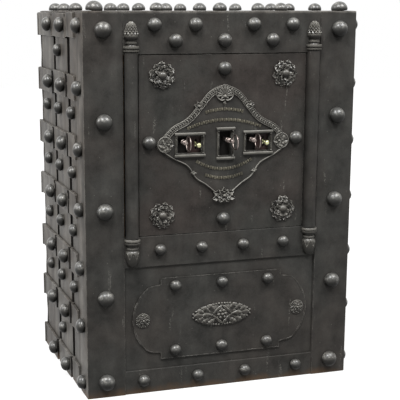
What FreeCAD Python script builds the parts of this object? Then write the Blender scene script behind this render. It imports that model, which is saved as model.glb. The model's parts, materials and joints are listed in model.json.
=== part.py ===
import FreeCAD, Part

import math
import os
import re

import Sketcher

# Studded iron safe. Millimetres, +Z up, front face towards -Y. The origin is the
# centre of the footprint on the floor, so every place is counted from there.

V = FreeCAD.Vector
DOC = FreeCAD.newDocument("studded_safe")

# ---------------------------------------------------------------- driving sizes
DIMENSIONS = {
    # cabinet
    "width": 600,
    "depth": 410,
    "height": 800,
    "shell": 5,
    "skin": 5,
    "corner_width": 83,
    "flange_depth": 62,
    "flange_gap": 1,
    "rail_thick": 4,
    "bottom_rail_height": 52,
    "mid_rail_height": 65.5,
    "top_rail_height": 82.5,
    "lining": 40,
    "back_lining": 20,
    "wall_lining": 90,
    "shelf_thick": 18,
    "shelf_level": 540,
    "shelf_play": 0.5,
    "batten": 15,
    # hammered straps and bands
    "strap_gap": 16,
    "front_strap_end": 122,
    "middle_strap_end": 258,
    "band_thick": 6.5,
    "lid_proud": 4.5,
    "band_height": 50,
    "band_first": 30,
    # columns: the left one is the hinge
    "column_radius": 15,
    "column_forward": 2,
    "ring_proud": 1,
    "ring_height": 11,
    "end_play": 0.3,
    "cone_radius": 15,
    "cone_height": 40,
    "neck_radius": 12,
    "neck_height": 10,
    "pin_radius": 2.5,
    "pin_play": 0.05,
    "pin_length": 30,
    "groove_play": 0.5,
    # door
    "door_gap": 1.8,
    "door_edge_gap": 1.5,
    "door_bottom": 345,
    "tongue": 3,
    "stop_lap": 7,
    "jamb_depth": 50,
    "casing_inset": 16.2,
    "casing_depth": 50,
    "casing_rise": 13,
    "casing_wall": 4,
    "cover_thick": 3,
    # lock plate and its three windows
    "lock_rise": 1.5,
    "lock_plate_aside": 36.2,
    "lock_plate_margin": 62.5,
    "lock_plate_thick": 3,
    "border": 10,
    "border_thick": 4,
    "window_inset": 72,
    "window_width": 52,
    "window_height": 35,
    "centre_window_offset": 3,
    "centre_window_width": 26,
    "centre_window_height": 52,
    "frame_rim": 6,
    "frame_thick": 5,
    "key_plate_thick": 3,
    "key_plate_recess": 4,
    "key_plate_width": 28,
    # lock case, keys, knobs and bolts
    "lock_case_width": 236,
    "lock_case_height": 96,
    "lock_case_depth": 35,
    "lock_wall": 3,
    "key_offset": 16,
    "key_rise": 7,
    "centre_key_rise": 9,
    "shank_radius": 3.5,
    "shank_play": 0.05,
    "bow_radius": 14.5,
    "bow_wire": 2.2,
    "ball_radius": 6,
    "side_bow_proud": 42,
    "side_ball_proud": 14,
    "centre_bow_proud": 60,
    "centre_ball_proud": 22,
    "bit_length": 14,
    "bit_width": 12,
    "bit_thick": 3,
    "knob_radius": 5.5,
    "knob_proud": 19,
    "stem_radius": 2,
    "stem_play": 0.1,
    "knob_travel": 9,
    "knob_disc_radius": 4.5,
    "knob_disc_thick": 1.4,
    "bolt_radius": 9,
    "bolt_play": 0.1,
    "bolt_entry": 1,
    "bolt_travel": 25,
    "bolt_inset": 80.5,
    "bolt_depth": 23,
    "bolt_bar_thick": 12,
    "bolt_bar_gap": 4,
    "bolt_bar_end": 12,
    "bolt_setback": 0.5,
    "carriage_thick": 6,
    "carriage_height": 24,
    "guide_thick": 3.5,
    "guide_radius": 14,
    # studs and cast ornament
    "corner_stud_radius": 18,
    "corner_stud_inset": 41,
    "corner_stud_end": 34,
    "stud_radius": 15,
    "rail_stud_radius": 13,
    "band_stud_radius": 16,
    "side_stud_radius": 14,
    "stud_rise": 0.1,
    "rosette_radius": 28.5,
    "rosette_thick": 10,
    "small_rosette_radius": 16.5,
    "small_rosette_thick": 8,
    "ornament_length": 136,
    "ornament_height": 52,
    "ornament_thick": 9,
    "plaque_width": 274,
    "plaque_height": 177,
    "plaque_step": 13.5,
    "plaque_end": 63,
    "plaque_thick": 3,
    "plaque_drop": 3.5,
    "panel_stud_rise": 71,
}

# sizes that follow from the driving ones; a later text may use an earlier name
DERIVED = {
    "ring_radius": "(column_radius + ring_proud)",
    "column_offset": "(width / 2 - corner_width - ring_radius)",
    "door_height": "(height - top_rail_height - door_edge_gap - door_bottom)",
    "lock_plate_width": "(2 * (column_offset - column_radius - door_gap - lock_plate_aside))",
    "lock_plate_height": "(door_height - 2 * lock_plate_margin)",
    "window_offset": "(lock_plate_width / 2 - window_inset)",
    "bolt_spread": "(door_height / 2 - bolt_inset)",
    "lock_level": "(door_bottom + door_height / 2 + lock_rise)",
    "key_level": "(lock_level + key_rise)",
    "centre_key_level": "(lock_level + centre_key_rise)",
    "panel_top": "(door_bottom - door_edge_gap - mid_rail_height)",
    "plaque_level": "((bottom_rail_height + panel_top) / 2 - plaque_drop)",
}

# where studs and rosettes stand: sideways from the centre line, or in from an edge where a name says so
CORNER_STUDS = 5
BANDS = 7
BACK_STRAPS = 4
TOP_RAIL_DROPS = [(24, (64, 151.5)), (56, (0, 107))]
MID_RAIL_STUDS = (35, (47, 140))
BOTTOM_RAIL_STUDS = (29, (55, 177))
PANEL_STUD_OFFSETS = (0, 106)
DOOR_STUD_INSETS = (20.2, 29, 27)
DOOR_SIDE_STUD_RISE = 6
DOOR_ROSETTE_INSETS = (48.2, 41)
SMALL_ROSETTE_INSET = 22
SIDE_BAND_STUDS = (30, 157, 285)
SIDE_GAP_STUDS = (90, 210, 325)
SIDE_GAP_RISE = 8
BACK_BAND_STUDS = (50, 95)
BACK_GAP_STUDS = (90, 55)
TOP_CORNER_INSETS = (30, 22)
TOP_ROWS = [(30, 163, 3, 0), (155, 24, 5, 0), (200, 112, 4, 0), (300, 27, 5, 5), (345, 22, 2, 0)]

SHEET = DOC.addObject("Spreadsheet::Sheet", "Sizes")


def fill_sheet():
    """One row per driving size: its name in column A, its value and alias in column B."""
    for row, (name, value) in enumerate(DIMENSIONS.items(), start=1):
        SHEET.set(f"A{row}", name)
        SHEET.set(f"B{row}", str(value))
        SHEET.setAlias(f"B{row}", name)
    DOC.recompute()


fill_sheet()
NAMES = re.compile(r"\b(" + "|".join(sorted(DIMENSIONS, key=len, reverse=True)) + r")\b")

# planes that many pieces share, written in the sheet's names
FRONT = "(-depth / 2)"
FACE = "(-depth / 2 + skin - rail_thick)"
SHELL_FRONT = "(-depth / 2 + skin)"
SHELL_IN = "(-depth / 2 + skin + shell)"
REAR = "(depth / 2)"
BACK_OUT = "(depth / 2 - skin)"
BACK_IN = "(depth / 2 - skin - shell)"
EDGE = "(width / 2)"
SIDE_OUT = "(width / 2 - skin)"
SIDE_IN = "(width / 2 - skin - shell)"
LID_OUT = "(height - skin)"
LID_IN = "(height - skin - shell)"
LID_TOP = "(height + lid_proud)"
INNER_SIDE = "(width / 2 - skin - shell - wall_lining)"
BACK_BOARD = "(depth / 2 - skin - shell - back_lining)"
CORNER_EDGE = "(width / 2 - corner_width)"
COLUMN_Y = "(-depth / 2 - column_forward)"
COLUMN_FACE = "(column_offset - column_radius)"
DOOR_SIDE = "(column_offset - column_radius - door_gap)"
DOOR_TOP = "(door_bottom + door_height)"
MID_RAIL_TOP = "(door_bottom - door_edge_gap)"
MID_RAIL_BOTTOM = "panel_top"
TOP_RAIL_BOTTOM = "(door_bottom + door_height + door_edge_gap)"
SHAFT_BOTTOM = "(door_bottom - door_edge_gap - 2.5)"
SHAFT_TOP = "(door_bottom + door_height + door_edge_gap + 5.5)"
JAMB_IN = "(-depth / 2 + skin + shell + jamb_depth)"
STOP = "(column_offset - column_radius - door_gap - stop_lap)"
SILL_TOP = "(door_bottom + stop_lap)"
HEAD_BOTTOM = "(door_bottom + door_height - stop_lap)"
COMPARTMENT_FLOOR = "(door_bottom - stop_lap + 2)"
COMPARTMENT_TOP = "(height - skin - shell - lining)"
CASING_SIDE = "(column_offset - column_radius - door_gap - casing_inset)"
CASING_BOTTOM = "(door_bottom + casing_rise)"
CASING_TOP = "(door_bottom + door_height - casing_rise)"
CASING_BACK = "(-depth / 2 + skin + shell + casing_depth)"
PLATE_FACE = "(-depth / 2 + skin - rail_thick - lock_plate_thick)"
LOCK_LOW = "(lock_level - lock_case_height / 2)"
LOCK_HIGH = "(lock_level + lock_case_height / 2)"
LOCK_SIDE = "(lock_case_width / 2)"
LOCK_BACK = "(-depth / 2 + skin + shell + lock_case_depth)"
KEY_PLATE_FACE = "(-depth / 2 + skin - rail_thick + key_plate_recess)"


# --------------------------------------------------------------------- helpers
def spelled_out(text):
    """The text with every derived name written in driving ones."""
    for name in reversed(DERIVED):
        text = re.sub(rf"\b{name}\b", DERIVED[name], text)
    return text


def formula(text):
    """The text with every size's name pointing at its cell."""
    return NAMES.sub(r"Sizes.\1", spelled_out(text))


def value(text):
    """The number that a text in the sheet's names comes to, for shapes made by Part's functions."""
    numbers = NAMES.sub(lambda found: str(DIMENSIONS[found.group(1)]), spelled_out(text))
    total = FreeCAD.Units.Quantity(numbers)
    return float(total)


def bind(item, **sizes):
    """Binds properties to the sheet. A name such as Base_x stands for Placement.Base.x."""
    for name, text in sizes.items():
        path = ".Placement." + name.replace("_", ".") if name.startswith("Base_") else name
        item.setExpression(path, formula(text))
    return item


def box(label, x, y, z):
    """A box between two planes along each axis, each plane a text in the sheet's names."""
    item = DOC.addObject("Part::Box", label)
    lengths = {"Length": x, "Width": y, "Height": z}
    bind(item, **{name: f"({high}) - ({low})" for name, (low, high) in lengths.items()})
    return bind(item, Base_x=x[0], Base_y=y[0], Base_z=z[0])


def cylinder(label, radius, length, base, along="Z"):
    """A cylinder from its base point along an axis: Z, X, or Y meaning towards the back."""
    item = DOC.addObject("Part::Cylinder", label)
    bind(item, Radius=radius, Height=length)
    turns = {"Z": (V(0, 0, 1), 0), "X": (V(0, 1, 0), 90), "Y": (V(1, 0, 0), -90)}
    item.Placement = FreeCAD.Placement(V(), FreeCAD.Rotation(*turns[along]))
    return bind(item, Base_x=base[0], Base_y=base[1], Base_z=base[2])


def sphere(label, radius, centre):
    """A ball about its centre."""
    item = DOC.addObject("Part::Sphere", label)
    return bind(item, Radius=radius, Base_x=centre[0], Base_y=centre[1], Base_z=centre[2])


def union(label, pieces):
    """Pieces joined into one solid."""
    item = DOC.addObject("Part::MultiFuse", label)
    item.Shapes = pieces
    item.Refine = True
    return item


def group(label, pieces):
    """Identical loose pieces kept as separate solids of one node."""
    item = DOC.addObject("Part::Compound", label)
    item.Links = pieces
    return item


def cut(label, base, tools):
    """A base with one or more tools taken away."""
    item = DOC.addObject("Part::Cut", label)
    item.Base = base
    item.Tool = tools[0] if len(tools) == 1 else group(label + "_tools", tools)
    return item


def mirrored(label, source):
    """The same piece on the other side of the centre line."""
    item = DOC.addObject("Part::Mirroring", label)
    item.Source = source
    item.Normal = V(1, 0, 0)
    return item


def plane_of(body, role):
    """One of a body's own origin planes, such as XY_Plane."""
    return next(item for item in body.Origin.OriginFeatures if item.Role == role)


def sketch_in(body, name, role):
    """An empty sketch on one of the body's origin planes."""
    sketch = body.newObject("Sketcher::SketchObject", name)
    sketch.AttachmentSupport = (plane_of(body, role), [""])
    sketch.MapMode = "FlatFace"
    return sketch


def outline_in(sketch, points):
    """A closed outline of straight lines whose corners are bound to the sheet.

    Each point is a pair of texts: its two coordinates in the sketch.
    """
    places = [V(value(across), value(up), 0) for across, up in points]
    for start, end in zip(places, places[1:] + places[:1]):
        sketch.addGeometry(Part.LineSegment(start, end))
    count = len(points)
    for index in range(count):
        sketch.addConstraint(Sketcher.Constraint("Coincident", index, 2, (index + 1) % count, 1))
    for index, (across, up) in enumerate(points):
        corner = places[index]
        for kind, text, number in (("DistanceX", across, corner.x), ("DistanceY", up, corner.y)):
            place = sketch.addConstraint(Sketcher.Constraint(kind, -1, 1, index, 1, number))
            sketch.renameConstraint(place, f"{kind}{index}")
            sketch.setExpression(f"Constraints.{kind}{index}", formula(text))


def padded(label, role, points, length, base=None):
    """A PartDesign body: one outline, padded to a length bound to the sheet."""
    body = DOC.addObject("PartDesign::Body", label)
    sketch = sketch_in(body, label + "_outline", role)
    outline_in(sketch, points)
    pad = body.newObject("PartDesign::Pad", label + "_pad")
    pad.Profile = sketch
    bind(pad, Length=length)
    sketch.Visibility = False
    if base:
        bind(body, **base)
    return body


def turned(label, points, base):
    """A PartDesign body: a half outline turned about its upright axis, set down at a base point.

    The outline's points are (radius, height) pairs of texts and start and end on the axis.
    """
    body = DOC.addObject("PartDesign::Body", label)
    sketch = sketch_in(body, label + "_outline", "XZ_Plane")
    outline_in(sketch, points)
    turn = body.newObject("PartDesign::Revolution", label + "_turn")
    turn.Profile = sketch
    turn.ReferenceAxis = (sketch, ["V_Axis"])
    turn.Angle = 360
    sketch.Visibility = False
    return bind(body, Base_x=base[0], Base_y=base[1], Base_z=base[2])


def placed_shape(label, shape):
    """A Part::Feature that holds a shape made with Part's functions."""
    item = DOC.addObject("Part::Feature", label)
    item.Shape = shape
    return item


def dome(radius, centre, outward):
    """A stud's head: a ball whose centre stands a little proud of the plate, flat where it meets it."""
    rise = radius * value("stud_rise")
    low = -math.degrees(math.asin(rise / radius))
    return Part.makeSphere(radius, centre + outward * rise, outward, low, 90, 360)


def studs(label, places):
    """A node of separate stud heads. Each place is (radius, centre, outward)."""
    return placed_shape(label, Part.makeCompound([dome(*place) for place in places]))


# --------------------------------------------------------------------- cabinet
def shell_plates():
    """The plain iron box under the straps: floor, lid, two sides and the back."""
    full_x = ("-" + SIDE_OUT, SIDE_OUT)
    inner_y = (SHELL_IN, BACK_IN)
    inner_z = ("shell", LID_IN)
    left = box("left_side_plate", ("-" + SIDE_OUT, "-" + SIDE_IN), inner_y, inner_z)
    return [
        box("bottom_plate", full_x, (SHELL_FRONT, BACK_OUT), ("0 * shell", "shell")),
        box("top_plate", full_x, (SHELL_FRONT, BACK_OUT), (LID_IN, LID_OUT)),
        left,
        box("right_side_plate", (SIDE_IN, SIDE_OUT), inner_y, inner_z),
        box("back_plate", full_x, (BACK_IN, BACK_OUT), inner_z),
    ]


def shaft_slot(label):
    """The slot in front that the turning column lies in."""
    reach = (f"{FRONT} - skin", SHELL_IN)
    tall = (f"{SHAFT_BOTTOM} - end_play", f"{SHAFT_TOP} + end_play")
    return box(label, ("-" + CORNER_EDGE, "-" + DOOR_SIDE), reach, tall)


def front_plates():
    """The front's iron: the frame round the door, the lower panel, three rails and two corner angles."""
    full_x = ("-" + SIDE_OUT, SIDE_OUT)
    layer = (SHELL_FRONT, SHELL_IN)
    doorway = box(
        "frame_doorway",
        ("-" + DOOR_SIDE, COLUMN_FACE),
        layer,
        (MID_RAIL_TOP, TOP_RAIL_BOTTOM),
    )
    blank = box("frame_blank", full_x, layer, (MID_RAIL_BOTTOM, LID_IN))
    frame = cut("front_frame", blank, [doorway, shaft_slot("frame_slot")])
    panel = box("lower_panel", full_x, layer, ("shell", MID_RAIL_BOTTOM))
    rail_x = ("-" + CORNER_EDGE, CORNER_EDGE)
    rail_y = (FACE, SHELL_FRONT)
    top_blank = box("top_rail_blank", rail_x, rail_y, (TOP_RAIL_BOTTOM, "height"))
    mid_blank = box("mid_rail_blank", rail_x, rail_y, (MID_RAIL_BOTTOM, MID_RAIL_TOP))
    angle_points = [
        (CORNER_EDGE, FRONT),
        (EDGE, FRONT),
        (EDGE, f"{FRONT} + flange_depth"),
        (SIDE_OUT, f"{FRONT} + flange_depth"),
        (SIDE_OUT, SHELL_FRONT),
        (CORNER_EDGE, SHELL_FRONT),
    ]
    right_angle = padded("right_corner_angle", "XY_Plane", angle_points, "height")
    return [
        frame,
        panel,
        cut("top_rail", top_blank, [shaft_slot("top_rail_slot")]),
        cut("mid_rail", mid_blank, [shaft_slot("mid_rail_slot")]),
        box("bottom_rail", rail_x, rail_y, ("0 * shell", "bottom_rail_height")),
        right_angle,
        mirrored("left_corner_angle", right_angle),
    ]


def strap_spans():
    """Front to back, where each upright side strap starts and ends."""
    return [
        (f"{FRONT} + flange_depth + flange_gap", f"{FRONT} + front_strap_end"),
        (f"{FRONT} + front_strap_end + strap_gap", f"{FRONT} + middle_strap_end"),
        (f"{FRONT} + middle_strap_end + strap_gap", BACK_OUT),
    ]


def back_strap_edge(line, side):
    """One edge of a back strap: beside dividing line 0 to 4, half a gap off unless the line is a corner."""
    middle = f"(({line} / {BACK_STRAPS} - 1 / 2) * width)"
    if line in (0, BACK_STRAPS):
        return middle
    return f"({middle} + {side} * strap_gap / 2)"


def band_heights(index):
    """The lower and upper edge of one of the seven bands, spread evenly up the cabinet."""
    middle = f"(band_first + {index} * (height - band_height / 2 - band_first) / {BANDS - 1})"
    return f"{middle} - band_height / 2", f"{middle} + band_height / 2"


def straps():
    """The upright straps on the sides and the back, the straps over the top, and the bands across them."""
    nodes = []
    spans = strap_spans()
    tall = ("0 * shell", "height")
    right = [
        box(f"right_strap_{index}", (SIDE_OUT, EDGE), span, tall)
        for index, span in enumerate(spans)
    ]
    right_straps = group("right_side_straps", right)
    nodes += [right_straps, mirrored("left_side_straps", right_straps)]
    low_ends = (SHELL_FRONT, spans[0][1]), spans[1], spans[2]
    high_ends = (FACE, spans[0][1]), spans[1], (spans[2][0], REAR)
    top = []
    for index, (low, high) in enumerate(zip(low_ends, high_ends)):
        sunk = box(f"top_strap_sunk_{index}", ("-" + SIDE_OUT, SIDE_OUT), low, (LID_OUT, "height"))
        proud = box(f"top_strap_proud_{index}", ("-" + EDGE, EDGE), high, ("height", LID_TOP))
        top.append(union(f"top_strap_{index}", [sunk, proud]))
    nodes.append(group("top_straps", top))
    backs = [
        box(
            f"back_strap_{index}",
            (back_strap_edge(index, 1), back_strap_edge(index + 1, -1)),
            (BACK_OUT, REAR),
            tall,
        )
        for index in range(BACK_STRAPS)
    ]
    nodes.append(group("back_straps", backs))
    side_y = (f"{FRONT} + flange_depth + flange_gap", REAR)
    bands = [
        box(f"right_band_{index}", (EDGE, f"{EDGE} + band_thick"), side_y, band_heights(index))
        for index in range(BANDS)
    ]
    right_bands = group("right_side_bands", bands)
    nodes += [right_bands, mirrored("left_side_bands", right_bands)]
    wide = (f"-{EDGE} - band_thick", f"{EDGE} + band_thick")
    rear = [
        box(f"back_band_{index}", wide, (REAR, f"{REAR} + band_thick"), band_heights(index))
        for index in range(BANDS)
    ]
    nodes.append(group("back_bands", rear))
    return nodes


def linings():
    """The oak inside: walls, back, floor and ceiling, a shelf on its battens."""
    side_y = (JAMB_IN, BACK_IN)
    room_z = (COMPARTMENT_FLOOR, COMPARTMENT_TOP)
    inner_x = ("-" + INNER_SIDE, INNER_SIDE)
    full_x = ("-" + SIDE_IN, SIDE_IN)
    right_wall = box("right_wall_lining", (INNER_SIDE, SIDE_IN), side_y, room_z)
    left_wall = box("left_wall_lining", ("-" + SIDE_IN, "-" + INNER_SIDE), side_y, room_z)
    floor = box("floor_board", full_x, side_y, (f"{COMPARTMENT_FLOOR} - lining", COMPARTMENT_FLOOR))
    ceiling = box("ceiling_board", full_x, side_y, (COMPARTMENT_TOP, LID_IN))
    shelf_x = (f"-{INNER_SIDE} + shelf_play", f"{INNER_SIDE} - shelf_play")
    shelf_y = (f"{JAMB_IN} + lining / 2", BACK_BOARD)
    batten_z = ("shelf_level - batten", "shelf_level")
    battens = [
        box("left_batten", ("-" + INNER_SIDE, f"-{INNER_SIDE} + batten"), shelf_y, batten_z),
        box("right_batten", (f"{INNER_SIDE} - batten", INNER_SIDE), shelf_y, batten_z),
    ]
    return [
        group("side_linings", [left_wall, right_wall]),
        group("floor_and_ceiling_boards", [floor, ceiling]),
        box("back_board", inner_x, (BACK_BOARD, BACK_IN), room_z),
        box("shelf", shelf_x, shelf_y, ("shelf_level", "shelf_level + shelf_thick")),
        group("shelf_battens", battens),
    ]


def bolt_levels():
    """The heights of the three bolts."""
    return [f"lock_level {sign} bolt_spread" for sign in ("-", "+ 0 *", "+")]


def bolt_y():
    """Front to back, the bolts' centre line."""
    return f"({SHELL_IN} + bolt_depth)"


def door_frame():
    """The oak posts, head and sill that the door shuts against. The right post takes the bolts."""
    layer = (SHELL_IN, JAMB_IN)
    post_z = (f"{COMPARTMENT_FLOOR} - lining", LID_IN)
    left = box("left_jamb_blank", ("-" + SIDE_IN, "-" + STOP), layer, post_z)
    groove = cylinder(
        "shaft_groove",
        "column_radius + groove_play",
        f"{SHAFT_TOP} - {SHAFT_BOTTOM} + 2 * end_play",
        ("-column_offset", COLUMN_Y, f"{SHAFT_BOTTOM} - end_play"),
    )
    right = box("right_jamb_blank", (STOP, SIDE_IN), layer, post_z)
    holes = [
        cylinder(
            f"bolt_hole_{index}",
            "bolt_radius + bolt_entry",
            "bolt_travel",
            (STOP, bolt_y(), level),
            "X",
        )
        for index, level in enumerate(bolt_levels())
    ]
    between = ("-" + STOP, STOP)
    head = box("door_head", between, layer, (HEAD_BOTTOM, LID_IN))
    sill = box("door_sill", between, layer, (f"{COMPARTMENT_FLOOR} - lining", SILL_TOP))
    return [
        cut("left_jamb", left, [groove]),
        cut("right_jamb", right, holes),
        group("door_head_and_sill", [head, sill]),
    ]


# --------------------------------------------------------------------- columns
def column_front(label, level, tall, behind):
    """A block that keeps only the part of a column in front of a plane."""
    reach = "2 * ring_radius"
    return box(
        label,
        (f"column_offset - {reach}", f"column_offset + {reach}"),
        (f"{COLUMN_Y} - {reach}", behind),
        (level, f"{level} + ({tall})"),
    )


def finial(label, kind, level, tall):
    """A fixed end of a column, flat at the back where it sits on the rail."""
    if kind == "cone":
        points = [
            ("0 * shell", "0 * shell"),
            ("ring_radius", "0 * shell"),
            ("ring_radius", "ring_height"),
            ("neck_radius", "ring_height"),
            ("neck_radius", "ring_height + neck_height"),
            ("cone_radius", "ring_height + neck_height * 1.6"),
            ("cone_radius", "ring_height + neck_height + cone_height * 0.4"),
            ("cone_radius * 0.75", "ring_height + neck_height + cone_height * 0.7"),
            ("cone_radius * 0.3", "ring_height + neck_height * 0.8 + cone_height"),
            ("0 * shell", "ring_height + neck_height * 0.8 + cone_height"),
        ]
    else:
        points = [
            ("0 * shell", tall),
            ("ring_radius", tall),
            ("ring_radius", f"{tall} - ring_height"),
            ("neck_radius", f"{tall} - ring_height"),
            ("neck_radius", f"{tall} - ring_height - neck_height * 0.7"),
            ("cone_radius + 1", f"{tall} - ring_height - neck_height * 1.4"),
            ("cone_radius + 1", "cone_height * 0.4"),
            ("cone_radius * 0.8", "cone_height * 0.15"),
            ("cone_radius * 0.3", "0 * shell"),
            ("0 * shell", "0 * shell"),
        ]
    solid = turned(label + "_turned", points, ("column_offset", COLUMN_Y, level))
    front = DOC.addObject("Part::Common", label + "_front")
    front.Base = solid
    front.Tool = column_front(label + "_keep", level, tall, FACE)
    hole = cylinder(
        label + "_pin_hole",
        "pin_radius",
        "pin_length / 2",
        ("column_offset", COLUMN_Y, level if kind == "cone" else f"{level} + {tall} - pin_length / 2"),
    )
    right = front
    left = mirrored(label + "_left_blank", front)
    left_hole = mirrored(label + "_left_hole", hole)
    return right, cut(label + "_left", left, [left_hole])


def columns():
    """Two turned columns. The left shaft turns with the door on pins held by its fixed ends."""
    upper_level = f"({SHAFT_TOP} + end_play)"
    upper_tall = "(ring_height + neck_height * 0.8 + cone_height)"
    lower_tall = "(ring_height + neck_height * 1.1 + cone_height)"
    lower_level = f"({SHAFT_BOTTOM} - end_play - {lower_tall})"
    upper_right, upper_left = finial("upper_finial", "cone", upper_level, upper_tall)
    lower_right, lower_left = finial("lower_finial", "acorn", lower_level, lower_tall)
    length = f"{SHAFT_TOP} - {SHAFT_BOTTOM}"
    left_foot = ("-column_offset", COLUMN_Y, SHAFT_BOTTOM)
    right_foot = ("column_offset", COLUMN_Y, SHAFT_BOTTOM)
    shaft = cylinder("shaft_blank", "column_radius", length, left_foot)
    bore = cylinder("shaft_bore", "pin_radius + pin_play", length, left_foot)
    right_shaft = cylinder("right_shaft_blank", "column_radius", length, right_foot)
    shaft_front = DOC.addObject("Part::Common", "right_shaft_front")
    shaft_front.Base = right_shaft
    shaft_front.Tool = column_front("right_shaft_keep", SHAFT_BOTTOM, f"({length})", SHELL_FRONT)
    pin_feet = (f"{upper_level} - pin_length / 2", f"{lower_level} + {lower_tall} - pin_length / 2")
    pins = [
        cylinder(f"{side}_pin", "pin_radius", "pin_length", ("-column_offset", COLUMN_Y, foot))
        for side, foot in zip(("upper", "lower"), pin_feet)
    ]
    return [
        group("upper_finials", [upper_left, upper_right]),
        group("lower_finials", [lower_left, lower_right]),
        cut("left_column_shaft", shaft, [bore, tongue("shaft_tongue_slot")]),
        cut("right_column_shaft", shaft_front, [rail_ends()]),
        group("hinge_pins", pins),
    ]


def rail_ends():
    """The rails' ends under the right shaft, which it is cut to sit over."""
    reach = ("column_offset - 2 * column_radius", "column_offset + 2 * column_radius")
    layer = (FACE, SHELL_FRONT)
    upper = box("right_shaft_upper_rail", reach, layer, (TOP_RAIL_BOTTOM, f"{SHAFT_TOP} + skin"))
    lower = box("right_shaft_lower_rail", reach, layer, (f"{SHAFT_BOTTOM} - skin", MID_RAIL_TOP))
    return group("right_shaft_rails", [upper, lower])


# ------------------------------------------------------------------------ door
def tongue(label):
    """The strip of the door plate that runs into the turning shaft."""
    return box(
        label,
        ("-column_offset", "-" + DOOR_SIDE),
        (f"{SHELL_IN} - tongue", SHELL_IN),
        ("door_bottom", DOOR_TOP),
    )


def window_box(label, offset, wide, tall, near, far, rim="0 * frame_rim"):
    """The block that one window takes out, from a near plane to a far one."""
    return box(
        label,
        (f"{offset} - {wide} / 2 - {rim}", f"{offset} + {wide} / 2 + {rim}"),
        (near, far),
        (f"lock_level - {tall} / 2 - {rim}", f"lock_level + {tall} / 2 + {rim}"),
    )


def windows(label, near, far, rim="0 * frame_rim"):
    """The three windows as blocks: left, centre and right."""
    side = ("window_width", "window_height")
    centre = ("centre_window_width", "centre_window_height")
    return [
        window_box(label + "_left", "-window_offset", *side, near, far, rim),
        window_box(label + "_centre", "centre_window_offset", *centre, near, far, rim),
        window_box(label + "_right", "window_offset", *side, near, far, rim),
    ]


def door_shell():
    """The door's plate with its tongue, the casing behind it and the casing's cover."""
    door_x = ("-" + DOOR_SIDE, DOOR_SIDE)
    plate = box("door_plate_blank", door_x, (FACE, SHELL_IN), ("door_bottom", DOOR_TOP))
    leaf = union("door_plate_leaf", [plate, tongue("door_tongue")])
    casing_z = (CASING_BOTTOM, CASING_TOP)
    casing_x = ("-" + CASING_SIDE, CASING_SIDE)
    outer = box("casing_blank", casing_x, (SHELL_IN, CASING_BACK), casing_z)
    inner = box(
        "casing_hollow",
        (f"-{CASING_SIDE} + casing_wall", f"{CASING_SIDE} - casing_wall"),
        (SHELL_IN, CASING_BACK),
        (f"{CASING_BOTTOM} + casing_wall", f"{CASING_TOP} - casing_wall"),
    )
    holes = [
        cylinder(
            f"casing_hole_{index}",
            "bolt_radius + bolt_play",
            "3 * casing_wall",
            (f"{CASING_SIDE} - 2 * casing_wall", bolt_y(), level),
            "X",
        )
        for index, level in enumerate(bolt_levels())
    ]
    return [
        cut("door_plate", leaf, windows("door_window", FACE, SHELL_IN)),
        cut("door_casing", outer, [inner, *holes]),
        box("door_back_cover", casing_x, (CASING_BACK, f"{CASING_BACK} + cover_thick"), casing_z),
    ]


def lock_outline(half_width, half_height):
    """The lock plate's outline as a wire in the plane y = 0: four ogee sides, round noses left and right.

    The right-hand points are shares of the half sizes: the upper ogee, the nose and the lower ogee.
    """
    upper = [(0, 1), (0.22, 0.885), (0.385, 0.665), (0.555, 0.447), (0.765, 0.31)]
    upper.append((0.91, 0.14))
    nose = (1.0, 0.02)
    lower = [(0.925, -0.105), (0.76, -0.235), (0.555, -0.366), (0.43, -0.577), (0.277, -0.7)]
    lower.append((0.13, -0.845))
    foot = (0, -0.975)

    def at(share, side=1):
        return V(side * share[0] * half_width, 0, share[1] * half_height)

    edges = []
    for side in (1, -1):
        for run in (upper, lower):
            curve = Part.BSplineCurve()
            curve.interpolate([at(share, side) for share in run])
            edges.append(curve.toShape())
        edges.append(Part.Arc(at(upper[-1], side), at(nose, side), at(lower[0], side)).toShape())
    edges.append(Part.Arc(at(lower[-1]), at(foot), at(lower[-1], -1)).toShape())
    return Part.Wire(Part.__sortEdges__(edges))


def lock_slab(half_width, half_height, near, thick):
    """A flat slab of the lock plate's outline."""
    slab = Part.Face(lock_outline(half_width, half_height)).extrude(V(0, thick, 0))
    slab.translate(V(0, near, value("lock_level")))
    return slab


def lock_front():
    """The lock plate, its raised border and the three window frames."""
    half_width = value("lock_plate_width / 2")
    half_height = value("lock_plate_height / 2")
    thick = value("lock_plate_thick")
    near = value(PLATE_FACE)
    blank = placed_shape("lock_plate_blank", lock_slab(half_width, half_height, near, thick))
    plate = cut("lock_plate", blank, windows("plate_window", PLATE_FACE, FACE))
    raised = value("border_thick")
    rim = value("border")
    outer = lock_slab(half_width, half_height, near - raised, raised)
    inner = lock_slab(half_width - 1.4 * rim, half_height - rim, near - raised, raised)
    border = placed_shape("lock_border", outer.cut(inner))
    proud = f"{PLATE_FACE} - frame_thick"
    outside = windows("frame_outside", proud, PLATE_FACE, "frame_rim")
    inside = windows("frame_inside", proud, PLATE_FACE)
    frames = [
        cut(f"window_frame_{index}", whole, [hole])
        for index, (whole, hole) in enumerate(zip(outside, inside))
    ]
    return [plate, border, group("window_frames", frames)]


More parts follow.
